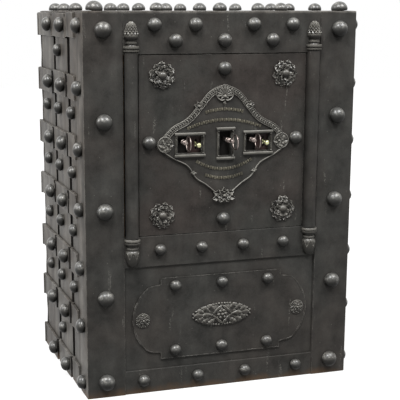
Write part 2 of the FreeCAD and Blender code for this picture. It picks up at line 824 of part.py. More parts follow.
def key_plates():
    """The plates in the right part of the two side windows, each with the slot its knob slides in."""
    plates = []
    half = "(stem_radius + stem_play)"
    for side, sign in (("left", "-"), ("right", "")):
        offset = f"{sign}window_offset"
        plate = box(
            f"{side}_key_plate_blank",
            (f"{offset} + window_width / 2 - key_plate_width", f"{offset} + window_width / 2"),
            (KEY_PLATE_FACE, f"{KEY_PLATE_FACE} + key_plate_thick"),
            ("lock_level - window_height / 2", "lock_level + window_height / 2"),
        )
        reach = f"{half} + knob_travel + stem_play"
        slot = box(
            f"{side}_knob_slot",
            (f"{offset} + key_offset - {half}", f"{offset} + key_offset + {half}"),
            (KEY_PLATE_FACE, f"{KEY_PLATE_FACE} + key_plate_thick"),
            (f"lock_level - ({reach})", f"lock_level + {reach}"),
        )
        plates.append(cut(f"{side}_key_plate", plate, [slot]))
    return [group("key_plates", plates)]


def key_axes():
    """Each key's name, place across, height, and how far its bow and ball stand proud."""
    side = ("side_bow_proud", "side_ball_proud")
    return [
        ("left_key", "(-window_offset - key_offset)", "key_level", *side),
        ("centre_key", "centre_window_offset", "centre_key_level", "centre_bow_proud", "centre_ball_proud"),
        ("right_key", "(window_offset - key_offset)", "key_level", *side),
    ]


def lock_case():
    """The lock's case with the keys' bores in its front wall, and the cover that closes it behind."""
    case_x = (f"-{LOCK_SIDE}", LOCK_SIDE)
    case_z = (LOCK_LOW, LOCK_HIGH)
    cover_in = f"{LOCK_BACK} - lock_wall"
    outer = box("lock_case_blank", case_x, (SHELL_IN, cover_in), case_z)
    inner = box(
        "lock_case_hollow",
        (f"-{LOCK_SIDE} + lock_wall", f"{LOCK_SIDE} - lock_wall"),
        (f"{SHELL_IN} + lock_wall", cover_in),
        (f"{LOCK_LOW} + lock_wall", f"{LOCK_HIGH} - lock_wall"),
    )
    bores = [
        cylinder(f"{name}_bore", "shank_radius + shank_play", "lock_wall", (across, SHELL_IN, level), "Y")
        for name, across, level, _, _ in key_axes()
    ]
    return [
        cut("lock_case", outer, [inner, *bores]),
        box("lock_cover", case_x, (cover_in, LOCK_BACK), case_z),
    ]


def key(name, across, level, bow_proud, ball_proud):
    """A key: ring bow, ball, shank and a bit that hangs down inside the lock."""
    bow_y = f"({FACE} - {bow_proud})"
    start = f"({bow_y} + bow_radius)"
    finish = f"({SHELL_IN} + lock_case_depth - 2 * lock_wall)"
    shank = cylinder(f"{name}_shank", "shank_radius", f"{finish} - {start}", (across, start, level), "Y")
    ball = sphere(f"{name}_ball", "ball_radius", (across, f"{FACE} - {ball_proud}", level))
    bow = DOC.addObject("Part::Torus", f"{name}_bow")
    bow.Placement = FreeCAD.Placement(V(), FreeCAD.Rotation(V(0, 1, 0), 90))
    bind(bow, Radius1="bow_radius", Radius2="bow_wire", Base_x=across, Base_y=bow_y, Base_z=level)
    bit = box(
        f"{name}_bit",
        (f"{across} - bit_thick / 2", f"{across} + bit_thick / 2"),
        (f"{finish} - bit_width", finish),
        (f"{level} - shank_radius - bit_length", level),
    )
    return union(name, [shank, ball, bow, bit])


def knob(side, sign):
    """A ball knob on a stem that slides up and down in its slot, kept by a disc behind the plate."""
    across = f"({sign}window_offset + key_offset)"
    centre_y = f"({KEY_PLATE_FACE} - knob_proud)"
    behind = f"({KEY_PLATE_FACE} + key_plate_thick + stem_play)"
    centre = (across, centre_y, "lock_level")
    tail = (across, behind, "lock_level")
    stem = cylinder(f"{side}_stem", "stem_radius", f"{behind} - {centre_y}", centre, "Y")
    disc = cylinder(f"{side}_disc", "knob_disc_radius", "knob_disc_thick", tail, "Y")
    ball = sphere(f"{side}_knob_ball", "knob_radius", centre)
    return union(f"{side}_knob", [stem, disc, ball])


def bolt_work():
    """Three bolts on one bar, the carriage that the centre key drives, and the collars they run in."""
    bar_in = "(lock_case_width / 2 + bolt_bar_gap)"
    bar_out = f"({bar_in} + bolt_bar_thick)"
    carriage_front = f"({LOCK_BACK} + lock_wall)"
    carriage_back = f"({carriage_front} + carriage_thick)"
    bar = box(
        "bolt_upright",
        (bar_in, bar_out),
        (f"{bolt_y()} - bolt_radius", carriage_back),
        ("lock_level - bolt_spread - bolt_bar_end", "lock_level + bolt_spread + bolt_bar_end"),
    )
    carriage = box(
        "bolt_carriage",
        ("centre_window_offset - carriage_height", bar_in),
        (carriage_front, carriage_back),
        ("lock_level - carriage_height / 2", "lock_level + carriage_height / 2"),
    )
    bolts = [
        cylinder(
            f"bolt_{index}",
            "bolt_radius",
            f"{CASING_SIDE} - bolt_setback - {bar_in}",
            (bar_in, bolt_y(), level),
            "X",
        )
        for index, level in enumerate(bolt_levels())
    ]
    collar_start = f"({CASING_SIDE} - casing_wall - guide_thick)"
    collars = []
    for index, level in enumerate(bolt_levels()):
        start = (collar_start, bolt_y(), level)
        ring = cylinder(f"collar_{index}", "guide_radius", "guide_thick", start, "X")
        hole = cylinder(f"collar_hole_{index}", "bolt_radius + shank_play", "guide_thick", start, "X")
        collars.append(cut(f"bolt_collar_{index}", ring, [hole]))
    return [union("bolt_bar", [bar, carriage, *bolts]), group("bolt_guides", collars)]


# --------------------------------------------------------- studs and ornament
def front_stud_places():
    """Studs on the rails and the plaque of the front."""
    out = V(0, -1, 0)
    radius = value("stud_radius")
    small = value("rail_stud_radius")
    places = []
    rows = [(radius, value("height") - drop, offsets) for drop, offsets in TOP_RAIL_DROPS]
    rows.append((small, value(MID_RAIL_BOTTOM) + MID_RAIL_STUDS[0], MID_RAIL_STUDS[1]))
    rows.append((small, *BOTTOM_RAIL_STUDS))
    for size, level, offsets in rows:
        for offset in offsets:
            for across in sorted({offset, -offset}):
                places.append((size, V(across, value(FACE), level), out))
    for rise in (-1, 1):
        level = value("plaque_level") + rise * value("panel_stud_rise")
        for offset in PANEL_STUD_OFFSETS:
            for across in sorted({offset, -offset}):
                places.append((small, V(across, value(f"{SHELL_FRONT} - plaque_thick"), level), out))
    return places


def corner_stud_places():
    """The large studs up both corner plates."""
    first = value("corner_stud_end")
    pitch = (value("height") - 2 * first) / (CORNER_STUDS - 1)
    across = value("width / 2 - corner_stud_inset")
    return [
        (value("corner_stud_radius"), V(side * across, value(FRONT), first + index * pitch), V(0, -1, 0))
        for side in (-1, 1)
        for index in range(CORNER_STUDS)
    ]


def side_stud_places(side):
    """The studs of one side: large ones on the flange and the bands, small ones on the straps between them."""
    out = V(side, 0, 0)
    front = value(FRONT)
    places = []
    middles = [sum(value(edge) for edge in band_heights(index)) / 2 for index in range(BANDS)]
    for level in middles:
        for back in SIDE_BAND_STUDS:
            under = EDGE if back < value("flange_depth") else f"{EDGE} + band_thick"
            places.append((value("band_stud_radius"), V(side * value(under), front + back, level), out))
    for index, (low, high) in enumerate(zip(middles, middles[1:])):
        at_end = index in (0, BANDS - 2)
        for back in SIDE_GAP_STUDS[1:2] if at_end else SIDE_GAP_STUDS:
            centre = V(side * value(EDGE), front + back, (low + high) / 2 + SIDE_GAP_RISE)
            places.append((value("side_stud_radius"), centre, out))
    return places


def back_stud_places():
    """The studs of the back: an outer one in from the edge, an inner one off the centre line."""
    out = V(0, 1, 0)
    places = []
    middles = [sum(value(edge) for edge in band_heights(index)) / 2 for index in range(BANDS)]
    for level in middles:
        for offset in (value(SIDE_OUT) - BACK_BAND_STUDS[0], BACK_BAND_STUDS[1]):
            for across in (-offset, offset):
                centre = V(across, value(f"{REAR} + band_thick"), level)
                places.append((value("band_stud_radius"), centre, out))
    for low, high in zip(middles, middles[1:]):
        for offset in (value(SIDE_OUT) - BACK_GAP_STUDS[0], BACK_GAP_STUDS[1]):
            for across in (-offset, offset):
                centre = V(across, value(REAR), (low + high) / 2 + SIDE_GAP_RISE)
                places.append((value("side_stud_radius"), centre, out))
    return places


def top_stud_places():
    """The studs over the top: large at the front corners, the rest in rows front to back.

    A row has its distance from the front, its outer studs' inset from the edges, its count and its shift.
    """
    out = V(0, 0, 1)
    top = value(LID_TOP)
    front = value(FRONT)
    across = value(EDGE) - TOP_CORNER_INSETS[0]
    back = TOP_CORNER_INSETS[1]
    places = [(value("corner_stud_radius"), V(side * across, front + back, top), out) for side in (-1, 1)]
    for back, inset, count, shift in TOP_ROWS:
        outer = value(EDGE) - inset
        for index in range(count):
            x = shift + outer * (2 * index / (count - 1) - 1)
            places.append((value("stud_radius"), V(x, front + back, top), out))
    return places


def stud_nodes():
    """Every group of studs."""
    out = V(0, -1, 0)
    face = value(FACE)
    aside, drop, rise = DOOR_STUD_INSETS
    aside = value(DOOR_SIDE) - aside
    beside = value("lock_level") + DOOR_SIDE_STUD_RISE
    spots = [(0, value(DOOR_TOP) - drop), (-aside, beside), (aside, beside)]
    spots.append((0, value("door_bottom") + rise))
    door = [(value("stud_radius"), V(across, face, level), out) for across, level in spots]
    return [
        studs("corner_studs", corner_stud_places()),
        studs("front_studs", front_stud_places()),
        studs("door_studs", door),
        studs("left_side_studs", side_stud_places(-1)),
        studs("right_side_studs", side_stud_places(1)),
        studs("back_studs", back_stud_places()),
        studs("top_studs", top_stud_places()),
    ]


def rosette(radius, thick, centre):
    """A cast rosette's body: a low dome with a button at its middle, on the plane y = centre.y."""
    ball = (radius * radius + thick * thick) / (2 * thick)
    low = 90 - math.degrees(math.asin(radius / ball))
    out = V(0, -1, 0)
    cap = Part.makeSphere(ball, centre - out * (ball - thick), out, low, 90, 360)
    button = Part.makeSphere(radius / 3, centre + out * (thick - radius / 6), out, 0, 90, 360)
    return cap.fuse(button).removeSplitter()


def plaque():
    """The raised plaque of the lower panel: a straight middle, a step, and a round end each side."""
    thick = value("plaque_thick")
    half = value("plaque_width / 2")
    tall = value("plaque_height / 2")
    short = tall - value("plaque_step")
    reach = half + value("plaque_end")
    shoulder = V(half + 0.57 * (reach - half), 0, 0.84 * short)
    edges = []
    for side in (1, -1):
        start = V(side * half, 0, short)
        end = V(side * half, 0, -short)
        for sign in (1, -1):
            edges.append(Part.makeLine(V(side * half, 0, sign * tall), V(side * half, 0, sign * short)))
        curve = Part.BSplineCurve()
        upper = V(side * shoulder.x, 0, shoulder.z)
        lower = V(side * shoulder.x, 0, -shoulder.z)
        curve.interpolate([start, upper, V(side * reach, 0, 0), lower, end])
        edges.append(curve.toShape())
    for sign in (1, -1):
        edges.append(Part.makeLine(V(-half, 0, sign * tall), V(half, 0, sign * tall)))
    slab = Part.Face(Part.Wire(Part.__sortEdges__(edges))).extrude(V(0, -thick, 0))
    slab.translate(V(0, value(SHELL_FRONT), value("plaque_level")))
    return placed_shape("lower_plaque", slab)


def ornaments():
    """The cast rosettes and the long leafy ornament on the plaque."""
    face = value(FACE)
    middle = value("door_bottom + door_height / 2")
    across = value(DOOR_SIDE) - DOOR_ROSETTE_INSETS[0]
    rise = value("door_height / 2") - DOOR_ROSETTE_INSETS[1]
    size = (value("rosette_radius"), value("rosette_thick"))
    large = [
        rosette(*size, V(side * across, face, middle + sign * rise))
        for side in (-1, 1)
        for sign in (-1, 1)
    ]
    panel_face = value(f"{SHELL_FRONT} - plaque_thick")
    level = value("plaque_level")
    aside = value("plaque_width / 2 + plaque_end") - SMALL_ROSETTE_INSET
    size = (value("small_rosette_radius"), value("small_rosette_thick"))
    small = [rosette(*size, V(side * aside, panel_face, level)) for side in (-1, 1)]
    length = value("ornament_length / 2")
    tall = value("ornament_height / 2")
    oval = Part.Ellipse(V(length, 0, 0), V(0, 0, tall), V(0, 0, 0))
    slab = Part.Face(Part.Wire(oval.toShape())).extrude(V(0, value("ornament_thick"), 0))
    if slab.BoundBox.YMin > -1e-6:
        slab.translate(V(0, -value("ornament_thick"), 0))
    slab.translate(V(0, panel_face, level))
    return [
        placed_shape("door_rosettes", Part.makeCompound(large)),
        placed_shape("small_rosettes", Part.makeCompound(small)),
        placed_shape("centre_ornament", slab),
        plaque(),
    ]


# ---------------------------------------------------------------------- output
def build():
    """Makes every sub-part and gives them back in the order of the file list."""
    nodes = shell_plates() + front_plates() + straps() + linings() + door_frame() + columns()
    nodes += door_shell() + lock_front() + key_plates() + lock_case()
    nodes += [key(*axis) for axis in key_axes()]
    nodes += [knob("left", "-"), knob("right", "")]
    nodes += bolt_work() + stud_nodes() + ornaments()
    return nodes


def check(nodes):
    """Stops if the document holds a failed object or a sub-part without a sound solid."""
    failed = [item.Label for item in DOC.Objects if {"Invalid", "Error"} & set(item.State)]
    if failed:
        raise RuntimeError(f"failed objects: {failed}")
    for item in nodes:
        if item.Shape.isNull() or not item.Shape.isValid() or not item.Shape.Solids:
            raise RuntimeError(f"no sound solid in {item.Label}")


def write(nodes):
    """One STEP file per sub-part, named by its label."""
    os.makedirs("parts", exist_ok=True)
    for item in nodes:
        item.Shape.exportStep(os.path.join("parts", item.Label + ".step"))


NODES = build()
DOC.recompute()
check(NODES)
write(NODES)
print(len(NODES), "nodes,", sum(len(item.Shape.Solids) for item in NODES), "solids")
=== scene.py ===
"""Looks of a studded iron safe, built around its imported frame.

Every piece is made in metres in the frame's own place: +Z up, the front towards -Y.
Ornament is first shaped in millimetres in a flat working place, x right, y up and z
out of the work, and is then set down on the face that carries it.
"""

from __future__ import annotations

import json
import logging
import math
import random
from dataclasses import dataclass, field
from enum import Enum
from typing import Callable, Sequence

import bmesh
import bpy
from bmesh.types import BMEdge, BMFace, BMVert
from bpy.types import Material, Mesh, Node, NodeSocket, NodeTree, NodeTreeInterfaceSocket, Object
from mathutils import Matrix, Vector, noise

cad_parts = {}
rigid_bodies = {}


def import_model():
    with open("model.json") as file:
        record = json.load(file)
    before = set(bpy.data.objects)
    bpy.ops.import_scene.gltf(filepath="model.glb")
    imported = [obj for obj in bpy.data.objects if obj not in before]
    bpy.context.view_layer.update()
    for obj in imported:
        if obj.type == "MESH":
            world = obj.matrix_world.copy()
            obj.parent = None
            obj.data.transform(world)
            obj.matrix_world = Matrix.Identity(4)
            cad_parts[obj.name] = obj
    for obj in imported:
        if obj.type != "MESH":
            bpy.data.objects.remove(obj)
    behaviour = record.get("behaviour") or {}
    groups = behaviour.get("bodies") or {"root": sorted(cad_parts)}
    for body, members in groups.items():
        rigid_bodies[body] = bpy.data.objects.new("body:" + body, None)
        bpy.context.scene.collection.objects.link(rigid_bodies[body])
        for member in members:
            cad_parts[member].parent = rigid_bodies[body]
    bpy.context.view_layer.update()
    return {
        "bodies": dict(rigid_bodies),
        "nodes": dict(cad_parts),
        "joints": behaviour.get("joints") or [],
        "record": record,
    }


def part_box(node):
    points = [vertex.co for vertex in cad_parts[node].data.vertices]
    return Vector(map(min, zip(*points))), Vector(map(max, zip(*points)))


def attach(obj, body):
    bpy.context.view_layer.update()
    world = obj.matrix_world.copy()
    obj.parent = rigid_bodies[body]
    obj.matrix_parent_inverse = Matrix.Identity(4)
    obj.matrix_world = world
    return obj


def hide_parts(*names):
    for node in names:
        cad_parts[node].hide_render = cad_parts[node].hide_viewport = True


LOG = logging.getLogger("studded_safe")
MM = 0.001
TAU = 2 * math.pi
QUARTER = math.pi / 2
SAME_SPOT = 1e-6
NOISE_SEED = 7
WHITE = (1.0, 1.0, 1.0, 1.0)
OUT = Vector((0, 0, 1))  # out of the work in its working place, and up in the frame
IN_PLACE = Matrix.Identity(4)

Bend = Callable[[Vector], Vector]
Colour = tuple[float, float, float]
Profile = Sequence[tuple[float, float]]


class Body(Enum):
    """The rigid bodies that carry the pieces made here."""

    CABINET = "cabinet"
    DOOR = "door"
    CENTRE_KEY = "centre_key"
    LEFT_KEY = "left_key"
    RIGHT_KEY = "right_key"
    LEFT_KNOB = "left_knob"
    RIGHT_KNOB = "right_knob"


class Side(Enum):
    """Left or right of the centre line, as the sign of x."""

    LEFT = -1
    RIGHT = 1


# --- frame places
@dataclass(frozen=True)
class Box:
    """An upright box between two corners, in metres."""

    low: Vector
    high: Vector

    @property
    def middle(self) -> Vector:
        """The box's centre."""
        return (self.low + self.high) / 2

    @property
    def size(self) -> Vector:
        """The box's three lengths."""
        return self.high - self.low


def node_box(node: str) -> Box:
    """The box of a frame node at rest."""
    low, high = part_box(node)
    return Box(Vector(low), Vector(high))


def solids_of(node: Object) -> list[Box]:
    """Finds the separate solids of a frame node.

    Args:
        node: The frame node's object; its mesh is only read.

    Returns:
        One box per solid, sorted by place.
    """
    bm = bmesh.new()
    bm.from_mesh(node.data)
    bmesh.ops.remove_doubles(bm, verts=bm.verts, dist=SAME_SPOT)
    found: list[Box] = []
    seen: set[BMVert] = set()
    for start in bm.verts:
        if start in seen:
            continue
        seen.add(start)
        island = [start]
        for vert in island:
            for edge in vert.link_edges:
                other = edge.other_vert(vert)
                if other not in seen:
                    seen.add(other)
                    island.append(other)
        low = Vector([min(v.co[axis] for v in island) for axis in range(3)])
        high = Vector([max(v.co[axis] for v in island) for axis in range(3)])
        found.append(Box(low, high))
    bm.free()
    return sorted(found, key=lambda box: tuple(round(c, 4) for c in box.middle))


def on_front(across: float, out: float, up: float, turn: float = 0.0) -> Matrix:
    """The place of flat work on a face that looks towards -Y.

    Args:
        across: x of the work's middle, in metres.
        out: y of the face, in metres.
        up: z of the work's middle, in metres.
        turn: Turn of the work in its own plane, in radians.

    Returns:
        The matrix from millimetres in the working place to metres in the frame.
    """
    stand = Matrix(((1, 0, 0), (0, 0, -1), (0, 1, 0))).to_4x4()
    return shift(across, out, up) @ stand @ turn_about(turn, "Z") @ Matrix.Scale(MM, 4)


def shift(x: float, y: float, z: float) -> Matrix:
    """A move by x, y and z."""
    return Matrix.Translation((x, y, z))


def scaled(x: float, y: float, z: float) -> Matrix:
    """A stretch along each axis."""
    return Matrix.Diagonal((x, y, z, 1.0))


def turn_about(angle: float, axis: str) -> Matrix:
    """A turn about an axis, in radians."""
    return Matrix.Rotation(angle, 4, axis)


def flat_turn(angle: float, x: float = 0.0, y: float = 0.0, z: float = 0.0) -> Matrix:
    """A shift to (x, y, z) and a turn about the working z axis, in radians."""
    return shift(x, y, z) @ turn_about(angle, "Z")


def main_axis(lengths: Vector) -> int:
    """The axis along which a vector is longest."""
    return max(range(3), key=lambda axis: abs(lengths[axis]))


def opaque(colour: Colour) -> tuple[float, float, float, float]:
    """A colour with full alpha, as sockets take it."""
    return (*colour, 1.0)


# --- node groups
class Wiring:
    """Short calls for adding and joining nodes of one tree."""

    def __init__(self, tree: NodeTree) -> None:
        """Works on that tree."""
        self.tree = tree

    def add(self, kind: str, inputs: dict[int | str, object] | None = None, **settings: object) -> Node:
        """Adds a node.

        Args:
            kind: The node's type.
            inputs: What goes into its sockets, as in fill().
            **settings: Its properties.

        Returns:
            The new node.
        """
        node = self.tree.nodes.new(kind)
        for name, setting in settings.items():
            setattr(node, name, setting)
        self.fill(node, inputs or {})
        return node

    def fill(self, node: Node, inputs: dict[int | str, object]) -> None:
        """Links or sets a node's inputs.

        Args:
            node: The node.
            inputs: A socket or a plain value for each input, by the input's name or number.
        """
        for key, source in inputs.items():
            if isinstance(source, NodeSocket):
                self.tree.links.new(source, node.inputs[key])
            else:
                node.inputs[key].default_value = source

    def group(self, tree: NodeTree, inputs: dict[str, object]) -> bpy.types.NodeOutputs:
        """The outputs of a shared group, placed with its own inputs."""
        return self.add("ShaderNodeGroup", inputs, node_tree=tree).outputs

    def math(self, operation: str, *values: object, clamp: bool = False) -> NodeSocket:
        """A Math node's result."""
        inputs = dict(enumerate(values))
        return self.add("ShaderNodeMath", inputs, operation=operation, use_clamp=clamp).outputs[0]

    def times(self, first: object, second: object, clamp: bool = False) -> NodeSocket:
        """One value times another."""
        return self.math("MULTIPLY", first, second, clamp=clamp)

    def times_plus(self, first: object, second: object, third: object) -> NodeSocket:
        """One value times another, and a third added."""
        return self.math("MULTIPLY_ADD", first, second, third)

    def mix(self, factor: object, first: object, second: object, blend: str = "MIX") -> NodeSocket:
        """A colour mixed between two others."""
        inputs = {0: factor, 6: first, 7: second}
        return self.add("ShaderNodeMix", inputs, data_type="RGBA", blend_type=blend).outputs[2]

    def noise(self, scale: float, detail: float, rough: float, vector: object = None) -> NodeSocket:
        """A noise value from 0 to 1 on Object coordinates or on a given vector."""
        where = self.place() if vector is None else vector
        inputs = {"Scale": scale, "Detail": detail, "Roughness": rough, "Vector": where}
        return self.add("ShaderNodeTexNoise", inputs).outputs[0]

    def place(self) -> NodeSocket:
        """The Object coordinates."""
        return self.add("ShaderNodeTexCoord").outputs["Object"]

    def stretched(self, scale: Sequence[float]) -> NodeSocket:
        """The Object coordinates, scaled along each axis."""
        return self.add("ShaderNodeMapping", {"Vector": self.place(), "Scale": scale}).outputs[0]

    def band(self, source: object, low: float, high: float) -> NodeSocket:
        """Maps low..high of a value onto 0..1, softly."""
        inputs = {"Value": source, "From Min": low, "From Max": high}
        return self.add("ShaderNodeMapRange", inputs, interpolation_type="SMOOTHSTEP").outputs["Result"]

    def specks(self, scale: float, size: float, share: float) -> NodeSocket:
        """Small round specks.

        Args:
            scale: How many cells there are in a metre.
            size: A speck's radius as a share of its cell.
            share: From 0 to 1, above which a cell's random number gives it a speck.

        Returns:
            The mask's socket.
        """
        cells = self.add("ShaderNodeTexVoronoi", {"Vector": self.place(), "Scale": scale})
        near = self.band(cells.outputs["Distance"], size, size * 0.4)
        parts = self.add("ShaderNodeSeparateColor", {0: cells.outputs["Color"]})
        return self.times(near, self.band(parts.outputs[0], share, share + 0.03))

    def bump(self, height: NodeSocket, strength: float, distance: float, shader: Node) -> None:
        """Gives a shader its bumps.

        Args:
            height: The socket of their height.
            strength: The Bump node's strength.
            distance: How tall they are, in metres.
            shader: The shader whose normal they turn.
        """
        inputs = {"Strength": strength, "Distance": distance, "Height": height}
        self.fill(shader, {"Normal": self.add("ShaderNodeBump", inputs).outputs[0]})

    def seen(self) -> NodeSocket:
        """1 for the rays that show a surface, in the camera, in gloss or through glass, and 0 for light's."""
        path = self.add("ShaderNodeLightPath")
        shown = self.math("MAXIMUM", path.outputs["Is Camera Ray"], path.outputs["Is Glossy Ray"])
        return self.math("MAXIMUM", shown, path.outputs["Is Transmission Ray"])


class ShaderGroup(Wiring):
    """A shader node group with named inputs and outputs, built once and shared."""

    def __init__(self, name: str, inputs: dict[str, float | Colour], outputs: Sequence[str]) -> None:
        """Starts a group.

        Args:
            name: The group's name.
            inputs: Each input's default; a tuple makes it a colour.
            outputs: The outputs' names; "Colour" is a colour, and any other a number.
        """
        super().__init__(bpy.data.node_groups.new(name, "ShaderNodeTree"))
        self.start = self.add("NodeGroupInput")
        self.end = self.add("NodeGroupOutput")
        for entry, default in inputs.items():
            socket = self.socket(entry, "INPUT", isinstance(default, tuple))
            socket.default_value = opaque(default) if isinstance(default, tuple) else default
        for entry in outputs:
            self.socket(entry, "OUTPUT", entry == "Colour")

    def socket(self, name: str, side: str, colour: bool) -> NodeTreeInterfaceSocket:
        """Adds a socket to the group's INPUT or OUTPUT side."""
        kind = "NodeSocketColor" if colour else "NodeSocketFloat"
        return self.tree.interface.new_socket(name, in_out=side, socket_type=kind)

    def give(self, **results: NodeSocket) -> NodeTree:
        """Links the group's outputs and returns its tree."""
        self.fill(self.end, results)
        return self.tree


def new_finish(name: str) -> tuple[Material, Wiring, Node]:
    """A new material, the wiring of its nodes and its shader."""
    material = bpy.data.materials.new(name)
    material.use_nodes = True
    return material, Wiring(material.node_tree), material.node_tree.nodes["Principled BSDF"]


RUST: Colour = (0.115, 0.072, 0.042)
# painted shade: the near-black colour that faces looking down are darkened to
UNDERSIDE_SHADE: Colour = (0.008, 0.0075, 0.007)
# painted shade: the colour that recesses are darkened to
RECESS_SHADE: Colour = (0.009, 0.008, 0.007)
OAK_PORE: Colour = (0.06, 0.032, 0.015)
RAY_SAMPLES = 6


class SharedEffects:
    """The node groups that several finishes share: old paint, worn edges, masks by facing for sheen, painted
    shade and painted highlight, and hammer marks.
    """

    def __init__(self) -> None:
        """Builds the groups."""
        self.patina = self._old_paint()
        self.edges = self._worn_edges()
        self.hammer = self._hammer_marks()
        self.handled = self._handled_tops()

    @staticmethod
    def _old_paint() -> NodeTree:
        """Blotched, speckled old paint: colour, roughness and fine height."""
        colours = {"Colour": (0.05, 0.05, 0.05), "Blotch": (0.06, 0.045, 0.04), "Chip": (0.3, 0.29, 0.26)}
        amounts = {"Blotch Amount": 0.5, "Chip Amount": 0.5, "Roughness": 0.5, "Streaks": 0.0}
        group = ShaderGroup("old_paint", colours | amounts, ("Colour", "Roughness", "Height"))
        source = group.start.outputs
        patches = group.noise(19.0, 5.0, 0.66)
        grain = group.noise(420.0, 3.0, 0.6)
        cloud = group.band(group.noise(5.0, 4.0, 0.6), 0.36, 0.66)
        blotched = group.times(cloud, source["Blotch Amount"])
        tinted = group.mix(blotched, source["Colour"], source["Blotch"])
        shade = group.times_plus(patches, 2.2, group.times_plus(grain, 0.7, -0.45))
        runs = group.noise(34.0, 4.0, 0.6, group.stretched((1.0, 1.0, 0.07)))
        run = group.times(group.math("SUBTRACT", runs, 0.5), source["Streaks"])
        shaded = group.mix(1.0, tinted, group.times_plus(run, shade, shade), "MULTIPLY")
        height = group.add("ShaderNodeSeparateXYZ", {0: group.place()}).outputs["Z"]
        low = group.times_plus(patches, 0.05, height)
        rust = group.times(group.band(low, 0.043, 0.02), 0.7)
        shaded = group.mix(rust, shaded, opaque(RUST))
        scratch = group.noise(60.0, 2.0, 0.5, group.stretched((1.0, 1.0, 0.16)))
        lines = group.times(group.band(scratch, 0.66, 0.72), group.band(grain, 0.48, 0.6))
        chips = group.math("MAXIMUM", group.specks(75.0, 0.085, 0.6), lines)
        chips = group.times(chips, source["Chip Amount"], clamp=True)
        rough = group.times_plus(patches, 0.3, -0.15)
        lumps = group.noise(150.0, 2.0, 0.5)
        return group.give(
            Colour=group.mix(chips, shaded, source["Chip"]),
            Roughness=group.math("ADD", rough, source["Roughness"], clamp=True),
            Height=group.times_plus(grain, 0.25, group.times_plus(lumps, 0.5, patches)),
        )

    @staticmethod
    def _worn_edges() -> NodeTree:
        """A mask of the sharp outer edges, broken up by noise."""
        group = ShaderGroup("worn_edges", {"Width": 0.0015, "Amount": 0.6}, ("Mask",))
        source = group.start.outputs
        rounded = group.add("ShaderNodeBevel", {"Radius": source["Width"]}, samples=RAY_SAMPLES).outputs[0]
        flat = group.add("ShaderNodeNewGeometry").outputs["Normal"]
        dot = group.add("ShaderNodeVectorMath", {0: rounded, 1: flat}, operation="DOT_PRODUCT")
        edge = group.band(group.math("SUBTRACT", 1.0, dot.outputs["Value"]), 0.01, 0.16)
        broken = group.band(group.noise(90.0, 4.0, 0.65), 0.38, 0.62)
        return group.give(Mask=group.times(group.times(edge, broken), source["Amount"]))

    @staticmethod
    def _handled_tops() -> NodeTree:
        """Masks by the way a face looks: the sheen of tops, their rubbed spots of wear and painted highlight,
        and the faces spared the painted shade of undersides.
        """
        group = ShaderGroup("handled_tops", {}, ("Sheen", "Clean", "Rubbed"))
        normal = group.add("ShaderNodeNewGeometry").outputs["Normal"]
        up = group.add("ShaderNodeSeparateXYZ", {0: normal}).outputs["Z"]
        sheen = group.band(up, -0.05, 0.5)
        lumps = group.band(group.noise(140.0, 3.0, 0.6), 0.46, 0.66)
        # rubbed wear and painted highlight: lumpy spots on faces that look up, short of the very tops
        rubbed = group.times(group.times(sheen, group.band(up, 0.97, 0.7)), lumps)
        # painted shade mask: 0 on faces that look down, 1 on faces that look up
        return group.give(Sheen=sheen, Clean=group.band(up, -0.42, 0.42), Rubbed=rubbed)

    @staticmethod
    def _hammer_marks() -> NodeTree:
        """Shallow dents of forged iron, as a height."""
        group = ShaderGroup("hammer_marks", {"Depth": 1.0}, ("Height",))
        inputs = {"Vector": group.place(), "Scale": 38.0}
        cells = group.add("ShaderNodeTexVoronoi", inputs, feature="SMOOTH_F1")
        soft = group.noise(26.0, 3.0, 0.5)
        height = group.times_plus(cells.outputs["Distance"], 0.55, soft)
        return group.give(Height=group.times(height, group.start.outputs["Depth"]))


